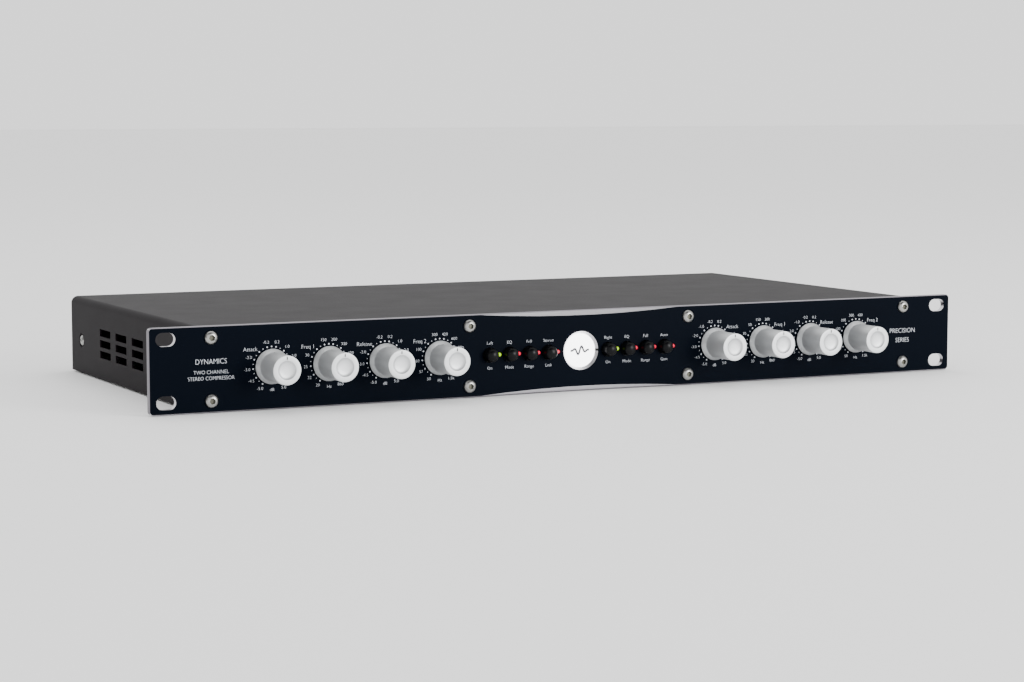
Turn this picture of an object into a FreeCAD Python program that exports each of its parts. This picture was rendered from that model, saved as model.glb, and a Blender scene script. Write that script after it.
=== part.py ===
"""Two-channel rack compressor, one rack unit high: a FreeCAD macro, in millimetres.

X runs to the right, Y to the back and Z up. The origin is the centre of the front
panel's rear face, which is the face that meets the rack's rails.
"""
import FreeCAD
import Part
import Sketcher
import os
import re
from math import cos, pi, sin
from FreeCAD import Placement, Rotation, Vector

# ---------------------------------------------------------------- driving sizes
SIZES = {
    # front panel
    "panel_width": 482.6,
    "panel_height": 43.6,
    "panel_thickness": 3.0,
    "panel_corner": 2.0,
    "panel_edge_bevel": 0.4,
    "slot_pitch_x": 465.1,
    "slot_pitch_z": 31.75,
    "slot_length": 10.3,
    "slot_width": 7.0,
    "scoop_radius": 779.0,
    "scoop_depth": 2.7,
    # sheet-metal case
    "case_width": 434.0,
    "case_height": 42.6,
    "case_depth": 217.0,
    "cover_sheet": 1.2,
    "cover_bend": 4.0,
    "tray_sheet": 1.5,
    "seam_gap": 0.2,
    "lip_height": 5.8,
    "tab_length": 16.0,
    "tab_height": 24.0,
    "vent_length": 19.5,
    "vent_width": 4.0,
    "vent_first_y": 63.1,
    "vent_pitch_y": 29.3,
    "vent_middle_z": -1.3,
    "vent_pitch_z": 6.1,
    # screws
    "panel_screw_side_inset": 8.1,
    "panel_screw_inner_x": 66.2,
    "panel_screw_top_inset": 5.4,
    "panel_screw_head": 3.5,
    "panel_screw_rise": 2.1,
    "panel_screw_shank": 2.0,
    "panel_screw_length": 6.0,
    "hex_key": 1.45,
    "hex_depth": 1.3,
    "cover_screw_y": 20.0,
    "cover_screw_z": -2.7,
    "cover_screw_head": 2.9,
    "cover_screw_rise": 0.5,
    "cover_screw_shank": 1.5,
    "cover_dimple": 4.5,
    "small_shank": 1.4,
    "small_head": 2.5,
    "hole_clearance": 0.2,
    "fit_clearance": 0.05,
    # knobs, shafts and potentiometers
    "knob_first_x": 83.4,
    "knob_pitch": 31.1,
    "knob_gap": 0.8,
    "knob_skirt": 9.0,
    "knob_skirt_edge": 0.5,
    "knob_bevel": 2.3,
    "knob_radius": 7.45,
    "knob_front": 21.9,
    "knob_rim_bevel": 0.4,
    "knob_dish": 4.85,
    "knob_dish_floor": 3.9,
    "knob_dish_slope": 0.8,
    "knob_dish_depth": 1.15,
    "pointer_width": 0.8,
    "pointer_depth": 0.25,
    "shaft_radius": 3.0,
    "shaft_reach": 16.0,
    "shaft_tail": 3.0,
    "bushing_wall": 0.5,
    "bushing_reach": 3.5,
    "nut_wall": 2.1,
    "nut_play": 0.65,
    "nut_thickness": 2.0,
    "pot_radius": 8.0,
    "board_y": 12.0,
    "board_sheet": 1.6,
    "control_side_inset": 27.0,
    "control_top_inset": 4.3,
    # buttons and lamps
    "left_button_x": -54.4,
    "right_button_x": 16.5,
    "button_pitch": 11.6,
    "button_radius": 3.5,
    "button_play": 0.6,
    "button_rise": 6.0,
    "button_dome": 1.6,
    "button_tail": 2.0,
    "button_travel": 3.0,
    "plunger_radius": 1.5,
    "plunger_tail": 8.5,
    "switch_side": 8.0,
    "switch_gap": 0.5,
    "lamp_offset": 5.8,
    "lamp_radius": 1.0,
    "lamp_play": 0.1,
    "lamp_rise": 0.4,
    "lamp_foot_rim": 0.35,
    "lamp_foot_y": 4.0,
    "lamp_leg": 0.5,
    # badge
    "badge_bevel": 1.2,
    "badge_radius": 9.25,
    "badge_recess": 1.4,
    "badge_rim": 2.05,
    "badge_light_side": 8.0,
    "badge_light_thickness": 3.0,
    # boards and what stands on them
    "main_side_inset": 17.0,
    "main_toroid_gap": 26.0,
    "main_front_gap": 10.4,
    "main_rear_inset": 31.0,
    "standoff_height": 6.0,
    "standoff_radius": 3.0,
    "standoff_inset": 6.0,
    "cap_radius": 8.0,
    "cap_height": 25.0,
    "cap_pitch": 20.0,
    "cap_first_x": 0.0,
    "cap_y": 60.0,
    "module_first_x": -180.0,
    "module_pitch": 40.0,
    "module_length": 26.0,
    "module_height": 16.0,
    "module_thickness": 8.0,
    "module_y": 100.0,
    "sink_left_x": 40.0,
    "sink_front_y": 110.0,
    "sink_length": 60.0,
    "sink_width": 22.0,
    "sink_height": 24.0,
    "sink_base": 3.0,
    "sink_fin": 1.6,
    "sink_fin_pitch": 5.6,
    "regulator_width": 10.0,
    "regulator_height": 16.0,
    "regulator_thickness": 4.5,
    "ribbon_half": 12.5,
    "ribbon_thickness": 1.0,
    # transformer
    "toroid_side_inset": 65.0,
    "toroid_y": 100.0,
    "toroid_radius": 36.0,
    "toroid_bore": 12.0,
    "toroid_headroom": 3.5,
    "toroid_round": 6.0,
    "pad_thickness": 1.5,
    "clamp_inset": 7.0,
    "clamp_sheet": 1.5,
    "bolt_radius": 2.5,
    "bolt_head": 4.5,
    "bolt_head_height": 3.4,
    # balanced connectors
    "input_side_inset": 25.0,
    "output_step": 80.0,
    "connector_pitch": 38.0,
    "flange_side": 1.1,
    "flange_end": 3.6,
    "flange_sheet": 2.0,
    "flange_corner": 3.0,
    "shell_radius": 11.9,
    "shell_depth": 26.0,
    "shell_wall": 2.1,
    "socket_depth": 20.0,
    "insert_gap": 2.1,
    "insert_recess": 1.0,
    "contact_circle": 5.0,
    "contact_hole": 1.5,
    "contact_depth": 12.0,
    "pin_radius": 1.2,
    "pin_length": 15.0,
    "rear_screw_side_inset": 7.0,
    "rear_screw_inner_x": 50.0,
    "flange_screw_side": 2.4,
    "flange_screw_lift": 0.1,
    "latch_half": 3.0,
    "latch_lift": 0.8,
    "latch_height": 2.6,
    "latch_rise": 1.2,
    "latch_length": 8.0,
    "latch_travel": 1.5,
    # mains inlet
    "inlet_side_inset": 52.0,
    "inlet_rim": 2.4,
    "inlet_flange": 2.5,
    "inlet_body_width": 49.0,
    "inlet_body_height": 27.0,
    "inlet_depth": 27.0,
    "socket_offset": 3.6,
    "socket_width": 16.4,
    "socket_half_z": 12.2,
    "socket_floor": 6.0,
    "blade_width": 4.0,
    "blade_thickness": 2.0,
    "blade_length": 16.0,
    "blade_pitch": 7.0,
    "blade_offset": 4.0,
    "drawer_width": 10.6,
    "drawer_wall": 1.6,
    "drawer_half_z": 11.6,
    "drawer_proud": 0.6,
    "fuse_radius": 2.5,
    "fuse_half": 10.0,
    "rocker_gap": 3.0,
    "rocker_width": 8.8,
    "rocker_half": 8.3,
    "rocker_tilt": 10.0,
    "rocker_inset": 4.0,
    "rocker_pin": 1.0,
    "rocker_pin_reach": 1.2,
    "rocker_room": 1.7,
}

# heights and depths that several pieces share, as formulas of the sizes above
CASE_HALF = "case_width / 2"
CASE_TOP = "case_height / 2"
CASE_FLOOR = "-case_height / 2"
TRAY_HALF = f"{CASE_HALF} - cover_sheet - seam_gap"
FLOOR_TOP = f"{CASE_FLOOR} + tray_sheet"
CEILING = f"{CASE_TOP} - cover_sheet"
REAR_INSIDE = "case_depth - tray_sheet"
BOARD_LOW = f"{FLOOR_TOP} + standoff_height"
BOARD_TOP = f"{BOARD_LOW} + board_sheet"
KNOB_REAR = "-panel_thickness - knob_gap"
KNOB_FRONT = "-panel_thickness - knob_front"
SWITCH_FACE = "button_tail + button_travel + switch_gap"
REAR_FACE = "case_depth + flange_sheet"
INLET_FACE = "case_depth + inlet_flange"
PANEL_SCREW_Z = f"({CASE_TOP} - panel_screw_top_inset)"
BUSHING = "(shaft_radius + bushing_wall)"
NUT = f"({BUSHING} + nut_wall)"
BUTTON_HOLE = "button_radius + button_play"
LAMP_HOLE = "lamp_radius + lamp_play"
BADGE_RIM = "badge_radius + badge_rim"
TOROID_X = f"({CASE_HALF} - toroid_side_inset)"
MAIN_LEFT = f"-({CASE_HALF} - main_side_inset)"
MAIN_RIGHT = f"{TOROID_X} - toroid_radius - main_toroid_gap"
MAIN_FRONT = "board_y + board_sheet + main_front_gap"
MAIN_REAR = "case_depth - main_rear_inset"
SOCKET = "(shell_radius - shell_wall)"
FLANGE_HALF = "(shell_radius + flange_side)"
FLANGE_UP = "(shell_radius + flange_end)"
LATCH_LOW = f"({SOCKET} + latch_lift)"
LATCH_HIGH = f"({LATCH_LOW} + latch_height)"
INLET_X = f"({CASE_HALF} - inlet_side_inset)"
SOCKET_LOW_X = f"({INLET_X} + socket_offset)"
SOCKET_HIGH_X = f"({SOCKET_LOW_X} + socket_width)"
DRAWER_LOW_X = f"({INLET_X} - drawer_width)"
ROCKER_HIGH_X = f"({DRAWER_LOW_X} - rocker_gap)"
ROCKER_LOW_X = f"({ROCKER_HIGH_X} - rocker_width)"
ROCKER_Y = f"{INLET_FACE} - rocker_inset"
PIN_SPAN = (f"{ROCKER_LOW_X} - rocker_pin_reach", f"{ROCKER_HIGH_X} + rocker_pin_reach")

doc = FreeCAD.newDocument("RackCompressor")
sheet = doc.addObject("Spreadsheet::Sheet", "Sizes")
for row, (alias, number) in enumerate(SIZES.items(), start=1):
    sheet.set(f"A{row}", alias)
    sheet.set(f"B{row}", str(number))
    sheet.setAlias(f"B{row}", alias)
doc.recompute()
nodes = {}


# ---------------------------------------------------------------- small tools
def bind(item, prop, formula):
    """Tie a property to a formula written with the names of the size table."""
    item.setExpression(prop, re.sub(r"\b[a-z]+_\w+\b", r"Sizes.\g<0>", formula))


def node(label, item):
    """Keep a finished piece under the name of its file."""
    item.Label = label
    nodes[label] = item
    return item


def place(item, x="0", y="0", z="0", turn=None):
    """Put an object at formulas, with an optional fixed rotation."""
    if turn:
        item.Placement = Placement(Vector(0, 0, 0), turn)
    for side, formula in zip("xyz", (x, y, z)):
        bind(item, f".Placement.Base.{side}", formula)
    return item


def block(x, y, z):
    """Box between a low and a high formula on each axis."""
    solid = doc.addObject("Part::Box", "block")
    for prop, (low, high) in zip(("Length", "Width", "Height"), (x, y, z)):
        bind(solid, prop, f"({high}) - ({low})")
    return place(solid, x[0], y[0], z[0])


AXIS_TURNS = {
    "X": Rotation(Vector(0, 1, 0), 90),
    "Y": Rotation(Vector(1, 0, 0), -90),
    "Z": Rotation(Vector(0, 0, 1), 0),
}


def rod(axis, radius, span, at):
    """Cylinder along an axis, over a span, at the two other coordinates in X, Y, Z order."""
    solid = doc.addObject("Part::Cylinder", "rod")
    bind(solid, "Radius", radius)
    bind(solid, "Height", f"({span[1]}) - ({span[0]})")
    spots = list(at)
    spots.insert("XYZ".index(axis), span[0])
    return place(solid, *spots, turn=AXIS_TURNS[axis])


def joined(*solids):
    """One solid made of several that meet."""
    fusion = doc.addObject("Part::MultiFuse", "joined")
    fusion.Shapes = list(solids)
    return fusion


def trimmed(base, *tools):
    """A solid with one or more tools taken out of it."""
    result = doc.addObject("Part::Cut", "trimmed")
    result.Base = base
    result.Tool = tools[0] if len(tools) == 1 else joined(*tools)
    return result


def capsule(length, width, span, at):
    """Slot tool along Y with round ends, its length along X."""
    reach = f"(({length}) - ({width})) / 2"
    radius = f"({width}) / 2"
    across, up = at
    height = (f"({up}) - {radius}", f"({up}) + {radius}")
    ends = (f"({across}) - {reach}", f"({across}) + {reach}")
    return joined(block(ends, span, height), *[rod("Y", radius, span, (end, up)) for end in ends])


def outline(body, plane, points):
    """Closed sketch of straight sides on one of the body's own origin planes."""
    sketch = body.newObject("Sketcher::SketchObject", "outline")
    face = next(item for item in body.Origin.OriginFeatures if item.Role == plane)
    sketch.AttachmentSupport = [(face, "")]
    sketch.MapMode = "FlatFace"
    count = len(points)
    start_size = 50
    corners = []
    for index in range(count):
        angle = 2 * pi * index / count
        corners.append(Vector(start_size * cos(angle), start_size * sin(angle), 0))
    for index in range(count):
        side = Part.LineSegment(corners[index], corners[(index + 1) % count])
        sketch.addGeometry(side, False)
    for index in range(count):
        following = (index + 1) % count
        sketch.addConstraint(Sketcher.Constraint("Coincident", index, 2, following, 1))
    for index, point in enumerate(points):
        for kind, formula, now in zip(("DistanceX", "DistanceY"), point, corners[index]):
            number = sketch.addConstraint(Sketcher.Constraint(kind, -1, 1, index, 1, now))
            bind(sketch, f"Constraints[{number}]", formula)
    return sketch


def turned(points, axis="Y", x="0", y="0", z="0"):
    """Body turned about Y or Z from an outline of (radius, height) formulas."""
    body = doc.addObject("PartDesign::Body", "Turned")
    sketch = outline(body, "XY_Plane" if axis == "Y" else "XZ_Plane", points)
    feature = body.newObject("PartDesign::Revolution", "turn")
    feature.Profile = sketch
    feature.ReferenceAxis = (sketch, ["V_Axis"])
    feature.Angle = 360
    return place(body, x, y, z)


def padded(plane, points, low, high, x="0", y="0", z="0"):
    """Body raised from an outline on the XZ plane (along Y) or the YZ plane (along X)."""
    body = doc.addObject("PartDesign::Body", "Padded")
    sketch = outline(body, plane, points)
    feature = body.newObject("PartDesign::Pad", "pad")
    feature.Profile = sketch
    feature.Reversed = plane == "XZ_Plane"
    bind(feature, "Length", f"({high}) - ({low})")
    shift = {"x": x, "y": y, "z": z}
    along = "y" if plane == "XZ_Plane" else "x"
    shift[along] = f"({shift[along]}) + ({low})"
    return place(body, **shift)


def rounded(body, radius, wanted):
    """Fillet of the body's edges that pass a test, whose radius is a formula."""
    doc.recompute()
    base = body.Tip
    edges = [f"Edge{i}" for i, edge in enumerate(base.Shape.Edges, start=1) if wanted(edge)]
    feature = body.newObject("PartDesign::Fillet", "round")
    feature.Base = (base, edges)
    bind(feature, "Radius", radius)
    return body


def bevelled(body, size, wanted):
    """Chamfer of the body's edges that pass a test, whose size is a formula."""
    doc.recompute()
    base = body.Tip
    edges = [f"Edge{i}" for i, edge in enumerate(base.Shape.Edges, start=1) if wanted(edge)]
    feature = body.newObject("PartDesign::Chamfer", "bevel")
    feature.Base = (base, edges)
    bind(feature, "Size", size)
    return body


def group(label, source, spots):
    """Identical loose pieces in one node: links to one source, each at its own place."""
    copies = []
    for x, y, z in spots:
        copy = doc.addObject("App::Link", "copy")
        copy.LinkedObject = source
        copy.Placement = Placement(Vector(0, 0, 0), source.Placement.Rotation)
        copies.append(place(copy, x, y, z))
    compound = doc.addObject("Part::Compound", "group")
    compound.Links = copies
    return node(label, compound)


def collection(label, solids):
    """Different loose pieces of one kind in one node."""
    compound = doc.addObject("Part::Compound", "group")
    compound.Links = list(solids)
    return node(label, compound)


# ---------------------------------------------------------------- repeated places
SIDES = (-1, 1)
COUNT_PER_SIDE = 4
knob_places = {}
for number in range(1, COUNT_PER_SIDE + 1):
    knob_places[f"left_{{}}_{number}"] = f"-knob_first_x - {COUNT_PER_SIDE - number} * knob_pitch"
for number in range(1, COUNT_PER_SIDE + 1):
    knob_places[f"right_{{}}_{number}"] = f"knob_first_x + {number - 1} * knob_pitch"
button_places = {}
for side in ("left", "right"):
    for number in range(1, COUNT_PER_SIDE + 1):
        button_places[f"{side}_button_{number}"] = f"{side}_button_x + {number - 1} * button_pitch"
lamp_places = [f"{x} + lamp_offset" for x in button_places.values()]
panel_screw_places = []
for column in (f"({CASE_HALF} - panel_screw_side_inset)", "panel_screw_inner_x"):
    for side in SIDES:
        for level in SIDES:
            panel_screw_places.append((f"{side} * {column}", f"{level} * {PANEL_SCREW_Z}"))
first_input = f"-({CASE_HALF} - input_side_inset)"
first_output = f"{first_input} + output_step"
input_places = [first_input, f"{first_input} + connector_pitch"]
output_places = [first_output, f"{first_output} + connector_pitch"]
flange_screw_places = []
for centre in input_places + output_places:
    for side in SIDES:
        across = f"{centre} + {side} * (shell_radius - flange_screw_side)"
        flange_screw_places.append((across, f"{side} * (shell_radius + flange_screw_lift)"))
rear_screw_places = []
for column in (f"({CASE_HALF} - rear_screw_side_inset)", "rear_screw_inner_x"):
    rear_screw_places += [f"{side} * {column}" for side in SIDES]
rear_screw_z = f"{FLOOR_TOP} + lip_height / 2"


# ---------------------------------------------------------------- front panel
def make_front_panel():
    """Black-faced plate with rack slots, holes, a bevelled badge hole and two scooped bevels."""
    half = "panel_width / 2"
    top = "panel_height / 2"
    corners = [(f"-{half}", f"-{top}"), (half, f"-{top}"), (half, top), (f"-{half}", top)]
    body = padded("XZ_Plane", corners, "-panel_thickness", "0")
    thickness = SIZES["panel_thickness"]
    rounded(body, "panel_corner", lambda edge: edge.BoundBox.YLength > thickness / 2)
    bevelled(body, "panel_edge_bevel", lambda edge: edge.BoundBox.YMax < thickness / 1000)
    through = ("-panel_thickness - 1", "1")
    tools = []
    for side in SIDES:
        for level in SIDES:
            at = (f"{side} * slot_pitch_x / 2", f"{level} * slot_pitch_z / 2")
            tools.append(capsule("slot_length", "slot_width", through, at))
        tools.append(scoop(side))
    for at in panel_screw_places:
        tools.append(rod("Y", "panel_screw_shank + hole_clearance", through, at))
    for x in knob_places.values():
        tools.append(rod("Y", f"{NUT} + nut_play", through, (x, "0")))
    for x in button_places.values():
        tools.append(rod("Y", BUTTON_HOLE, through, (x, "0")))
    for x in lamp_places:
        tools.append(rod("Y", LAMP_HOLE, through, (x, "0")))
    tools.append(rod("Y", "badge_radius", through, ("0", "0")))
    tools.append(badge_countersink())
    node("front_panel", trimmed(body, *tools))


def scoop(level):
    """Cone that cuts a long shallow bevel into the panel's top (1) or bottom (-1) edge."""
    cone = doc.addObject("Part::Cone", "scoop")
    bind(cone, "Radius1", "scoop_radius")
    bind(cone, "Radius2", "scoop_radius - panel_thickness")
    bind(cone, "Height", "panel_thickness")
    centre = f"{level} * (panel_height / 2 - scoop_depth + scoop_radius)"
    return place(cone, "0", "-panel_thickness", centre, turn=AXIS_TURNS["Y"])


def badge_countersink():
    """Cone that bevels the mouth of the badge hole down to the recess."""
    cone = doc.addObject("Part::Cone", "countersink")
    bind(cone, "Radius1", "badge_radius + badge_bevel")
    bind(cone, "Radius2", "badge_radius")
    bind(cone, "Height", "badge_recess")
    return place(cone, "0", "-panel_thickness", "0", turn=AXIS_TURNS["Y"])


def make_panel_screws():
    """Button-head screws with a hexagon socket that hold the panel to the chassis."""
    head_front = "-panel_thickness - panel_screw_rise"
    points = [
        ("0", head_front),
        ("panel_screw_head", head_front),
        ("panel_screw_head", "-panel_thickness"),
        ("panel_screw_shank", "-panel_thickness"),
        ("panel_screw_shank", "panel_screw_length"),
        ("0", "panel_screw_length"),
    ]
    body = turned(points)
    front = -SIZES["panel_thickness"] - SIZES["panel_screw_rise"]
    rounded(body, "panel_screw_rise * 0.75", lambda edge: abs(edge.CenterOfMass.y - front) < 0.01)
    key = doc.addObject("Part::Prism", "socket")
    key.Polygon = 6
    bind(key, "Circumradius", "hex_key")
    bind(key, "Height", "hex_depth")
    place(key, "0", head_front, "0", turn=AXIS_TURNS["Y"])
    spots = [(x, "0", z) for x, z in panel_screw_places]
    group("front_panel_screws", trimmed(body, key), spots)


# ---------------------------------------------------------------- sheet-metal case
def upright_sheet(front, back):
    """Wall across the case whose upper corners follow the inside of the cover's bends."""
    high = f"{CEILING} - seam_gap"
    left = f"-({TRAY_HALF})"
    corners = [(left, CASE_FLOOR), (TRAY_HALF, CASE_FLOOR), (TRAY_HALF, high), (left, high)]
    body = padded("XZ_Plane", corners, front, back)
    thinnest = SIZES["tray_sheet"] / 2

    def upper_corner(edge):
        return edge.BoundBox.YLength > thinnest and edge.CenterOfMass.z > 0

    return rounded(body, "cover_bend - cover_sheet", upper_corner)


def make_chassis_tray():
    """Floor, front wall, rear lip and side tabs folded from one sheet."""
    across = (f"-({TRAY_HALF})", TRAY_HALF)
    floor = block(across, ("0", REAR_INSIDE), (CASE_FLOOR, FLOOR_TOP))
    wall = upright_sheet("0", "tray_sheet")
    lip_high = f"{FLOOR_TOP} + lip_height"
    lip = block(across, (f"{REAR_INSIDE} - tray_sheet", REAR_INSIDE), (CASE_FLOOR, lip_high))
    parts = [floor, wall, lip]
    tools = []
    through = ("-1", "tray_sheet + 1")
    for side in SIDES:
        outer = f"{side} * ({TRAY_HALF})"
        inner = f"{side} * ({TRAY_HALF} - tray_sheet)"
        low, high = (outer, inner) if side < 0 else (inner, outer)
        for y in ("cover_screw_y", "case_depth - cover_screw_y"):
            reach = (f"{y} - tab_length / 2", f"{y} + tab_length / 2")
            parts.append(block((low, high), reach, (CASE_FLOOR, f"{FLOOR_TOP} + tab_height")))
            span = (f"{low} - 1", f"{high} + 1")
            tools.append(rod("X", "cover_screw_shank + fit_clearance", span, (y, "cover_screw_z")))
    for at in panel_screw_places:
        tools.append(rod("Y", "panel_screw_shank + fit_clearance", through, at))
    for x in knob_places.values():
        tools.append(rod("Y", f"{BUSHING} + fit_clearance", through, (x, "0")))
    for x in button_places.values():
        tools.append(rod("Y", BUTTON_HOLE, through, (x, "0")))
    for x in lamp_places:
        tools.append(rod("Y", LAMP_HOLE, through, (x, "0")))
    tools.append(rod("Y", f"{BADGE_RIM} + hole_clearance", through, ("0", "0")))
    behind = (f"{REAR_INSIDE} - tray_sheet - 1", f"{REAR_INSIDE} + 1")
    for x in rear_screw_places:
        tools.append(rod("Y", "small_shank + fit_clearance", behind, (x, rear_screw_z)))
    bolt_span = (f"{CASE_FLOOR} - 1", f"{FLOOR_TOP} + 1")
    tools.append(rod("Z", "bolt_radius + fit_clearance", bolt_span, (TOROID_X, "toroid_y")))
    node("chassis_tray", trimmed(joined(*parts), *tools))


def make_top_cover():
    """Inverted channel with rounded bends, vent slots and countersunk screw holes."""
    outer = [(f"-{CASE_HALF}", CASE_FLOOR), (f"-{CASE_HALF}", CASE_TOP)]
    outer += [(CASE_HALF, CASE_TOP), (CASE_HALF, CASE_FLOOR)]
    wall = f"{CASE_HALF} - cover_sheet"
    inner = [(wall, CASE_FLOOR), (wall, CEILING), (f"-({wall})", CEILING), (f"-({wall})", CASE_FLOOR)]
    body = padded("XZ_Plane", outer + inner, "seam_gap", "case_depth")
    long_edge = SIZES["case_depth"] / 2
    top = SIZES["case_height"] / 2
    ceiling = top - SIZES["cover_sheet"]

    def runs_at(level):
        return lambda edge: edge.BoundBox.YLength > long_edge and abs(edge.CenterOfMass.z - level) < 0.01

    rounded(body, "cover_bend", runs_at(top))
    rounded(body, "cover_bend - cover_sheet", runs_at(ceiling))
    through = (f"-{CASE_HALF} - 1", f"{CASE_HALF} + 1")
    tools = []
    for column in range(4):
        for level in (-1, 0, 1):
            along = f"vent_first_y + {column} * vent_pitch_y"
            up = f"vent_middle_z + {level} * vent_pitch_z"
            length = (f"{along} - vent_length / 2", f"{along} + vent_length / 2")
            tools.append(block(through, length, (f"{up} - vent_width / 2", f"{up} + vent_width / 2")))
    for y in ("cover_screw_y", "case_depth - cover_screw_y"):
        at = (y, "cover_screw_z")
        tools.append(rod("X", "cover_screw_shank + hole_clearance", through, at))
        tools.extend(dimple(side, y) for side in SIDES)
    node("top_cover", trimmed(body, *tools))


def dimple(side, y):
    """Shallow cone in the cover's side for a screw head."""
    cone = doc.addObject("Part::Cone", "dimple")
    bind(cone, "Radius1", "cover_dimple")
    bind(cone, "Radius2", "cover_screw_head + hole_clearance")
    bind(cone, "Height", "cover_sheet * 0.7")
    turn = Rotation(Vector(0, 1, 0), -90 * side)
    return place(cone, f"{side} * {CASE_HALF}", y, "cover_screw_z", turn=turn)


def make_cover_screws():
    """Pan-head screws that hold the cover's sides to the tray's tabs."""
    seat = f"{CASE_HALF} - cover_sheet * 0.7"
    crown = f"{CASE_HALF} + cover_screw_rise"
    points = [
        ("0", crown),
        ("cover_screw_head - cover_screw_rise", crown),
        ("cover_screw_head", f"{CASE_HALF} - seam_gap"),
        ("cover_screw_head", seat),
        ("cover_screw_shank", seat),
        ("cover_screw_shank", f"{seat} - 6"),
        ("0", f"{seat} - 6"),
    ]
    screws = []
    for side in SIDES:
        for y in ("cover_screw_y", "case_depth - cover_screw_y"):
            body = turned(points, axis="Z")
            place(body, "0", y, "cover_screw_z", turn=Rotation(Vector(0, 1, 0), 90 * side))
            screws.append(body)
    collection("cover_screws", screws)


def make_rear_panel():
    """Rear wall with cut-outs for the connectors and the mains inlet."""
    plate = upright_sheet(REAR_INSIDE, "case_depth")
    through = (f"{REAR_INSIDE} - 1", "case_depth + 1")
    tools = []
    for x in input_places + output_places:
        tools.append(rod("Y", "shell_radius + hole_clearance / 2", through, (x, "0")))
    for x in input_places:
        notch = (f"{x} - latch_half - 1", f"{x} + latch_half + 1")
        tools.append(block(notch, through, ("0", f"{LATCH_HIGH} + 1")))
    for at in flange_screw_places:
        tools.append(rod("Y", "small_shank + hole_clearance", through, at))
    for x in rear_screw_places:
        tools.append(rod("Y", "small_shank + hole_clearance", through, (x, rear_screw_z)))
    half = "inlet_body_width / 2 + hole_clearance"
    up = "inlet_body_height / 2 + hole_clearance"
    opening = block((f"{INLET_X} - ({half})", f"{INLET_X} + {half}"), through, (f"-({up})", up))
    node("rear_panel", trimmed(plate, opening, *tools))


def pan_screw(face, length):
    """Small pan-head screw along Y whose head lies behind a face; its shank points forward."""
    points = [
        ("0", f"{face} + 1.6"),
        ("small_head", f"{face} + 1.6"),
        ("small_head", face),
        ("small_shank", face),
        ("small_shank", f"{face} - {length}"),
        ("0", f"{face} - {length}"),
    ]
    return turned(points)


# ---------------------------------------------------------------- controls
def make_knobs():
    """Turned knobs with a skirt, a dished front and a pointer groove, and their shafts."""
    skirt_front = f"{KNOB_REAR} - knob_skirt_edge"
    points = [
        ("shaft_radius + fit_clearance", KNOB_REAR),
        ("knob_skirt", KNOB_REAR),
        ("knob_skirt", skirt_front),
        ("knob_radius", f"{skirt_front} - knob_bevel"),
        ("knob_radius", f"{KNOB_FRONT} + knob_rim_bevel"),
        ("knob_radius - knob_rim_bevel", KNOB_FRONT),
        ("knob_dish", KNOB_FRONT),
        ("knob_dish_floor", f"{KNOB_FRONT} + knob_dish_slope"),
        ("0", f"{KNOB_FRONT} + knob_dish_depth"),
        ("0", "-panel_thickness - shaft_reach - hole_clearance"),
        ("shaft_radius + fit_clearance", "-panel_thickness - shaft_reach - hole_clearance"),
    ]
    shaft = [
        ("0", "-panel_thickness - shaft_reach"),
        ("shaft_radius", "-panel_thickness - shaft_reach"),
        ("shaft_radius", "shaft_tail"),
        ("0", "shaft_tail"),
    ]
    for name, x in knob_places.items():
        groove_x = (f"{x} - pointer_width / 2", f"{x} + pointer_width / 2")
        groove_y = (f"{KNOB_FRONT} - 1", f"{KNOB_FRONT} + pointer_depth")
        groove = block(groove_x, groove_y, ("knob_dish + 0.6", "knob_radius + 1"))
        node(name.format("knob"), trimmed(turned(points, x=x), groove))
        node(name.format("shaft"), turned(shaft, x=x))


def make_potentiometers():
    """Round bodies with a threaded bushing that the shafts turn in, and their nuts."""
    bore = "shaft_radius + fit_clearance"
    points = [
        (bore, "-bushing_reach"),
        (BUSHING, "-bushing_reach"),
        (BUSHING, "tray_sheet"),
        ("pot_radius", "tray_sheet"),
        ("pot_radius", "board_y"),
        ("0", "board_y"),
        ("0", "shaft_tail + hole_clearance"),
        (bore, "shaft_tail + hole_clearance"),
    ]
    spots = [(x, "0", "0") for x in knob_places.values()]
    group("potentiometers", turned(points), spots)
    prism = doc.addObject("Part::Prism", "nut")
    prism.Polygon = 6
    bind(prism, "Circumradius", NUT)
    bind(prism, "Height", "nut_thickness")
    place(prism, "0", "-nut_thickness", "0", turn=AXIS_TURNS["Y"])
    hole = rod("Y", f"{BUSHING} + fit_clearance", ("-nut_thickness - 1", "1"), ("0", "0"))
    group("potentiometer_nuts", trimmed(prism, hole), spots)


def make_buttons():
    """Domed caps on plungers, and the switches that they press."""
    front = "-panel_thickness - button_rise"
    points = [
        ("0", front),
        ("button_radius", front),
        ("button_radius", "button_tail"),
        ("plunger_radius", "button_tail"),
        ("plunger_radius", "plunger_tail"),
        ("0", "plunger_tail"),
    ]
    dome_y = -SIZES["panel_thickness"] - SIZES["button_rise"]
    for name, x in button_places.items():
        body = turned(points, x=x)
        node(name, rounded(body, "button_dome", lambda edge: abs(edge.CenterOfMass.y - dome_y) < 0.01))
    half = "switch_side / 2"
    case = block((f"-{half}", half), (SWITCH_FACE, "board_y"), (f"-{half}", half))
    well = ("button_tail", "plunger_tail + button_travel + hole_clearance")
    bore = rod("Y", "plunger_radius + hole_clearance", well, ("0", "0"))
    spots = [(x, "0", "0") for x in button_places.values()]
    group("push_switches", trimmed(case, bore), spots)


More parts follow.
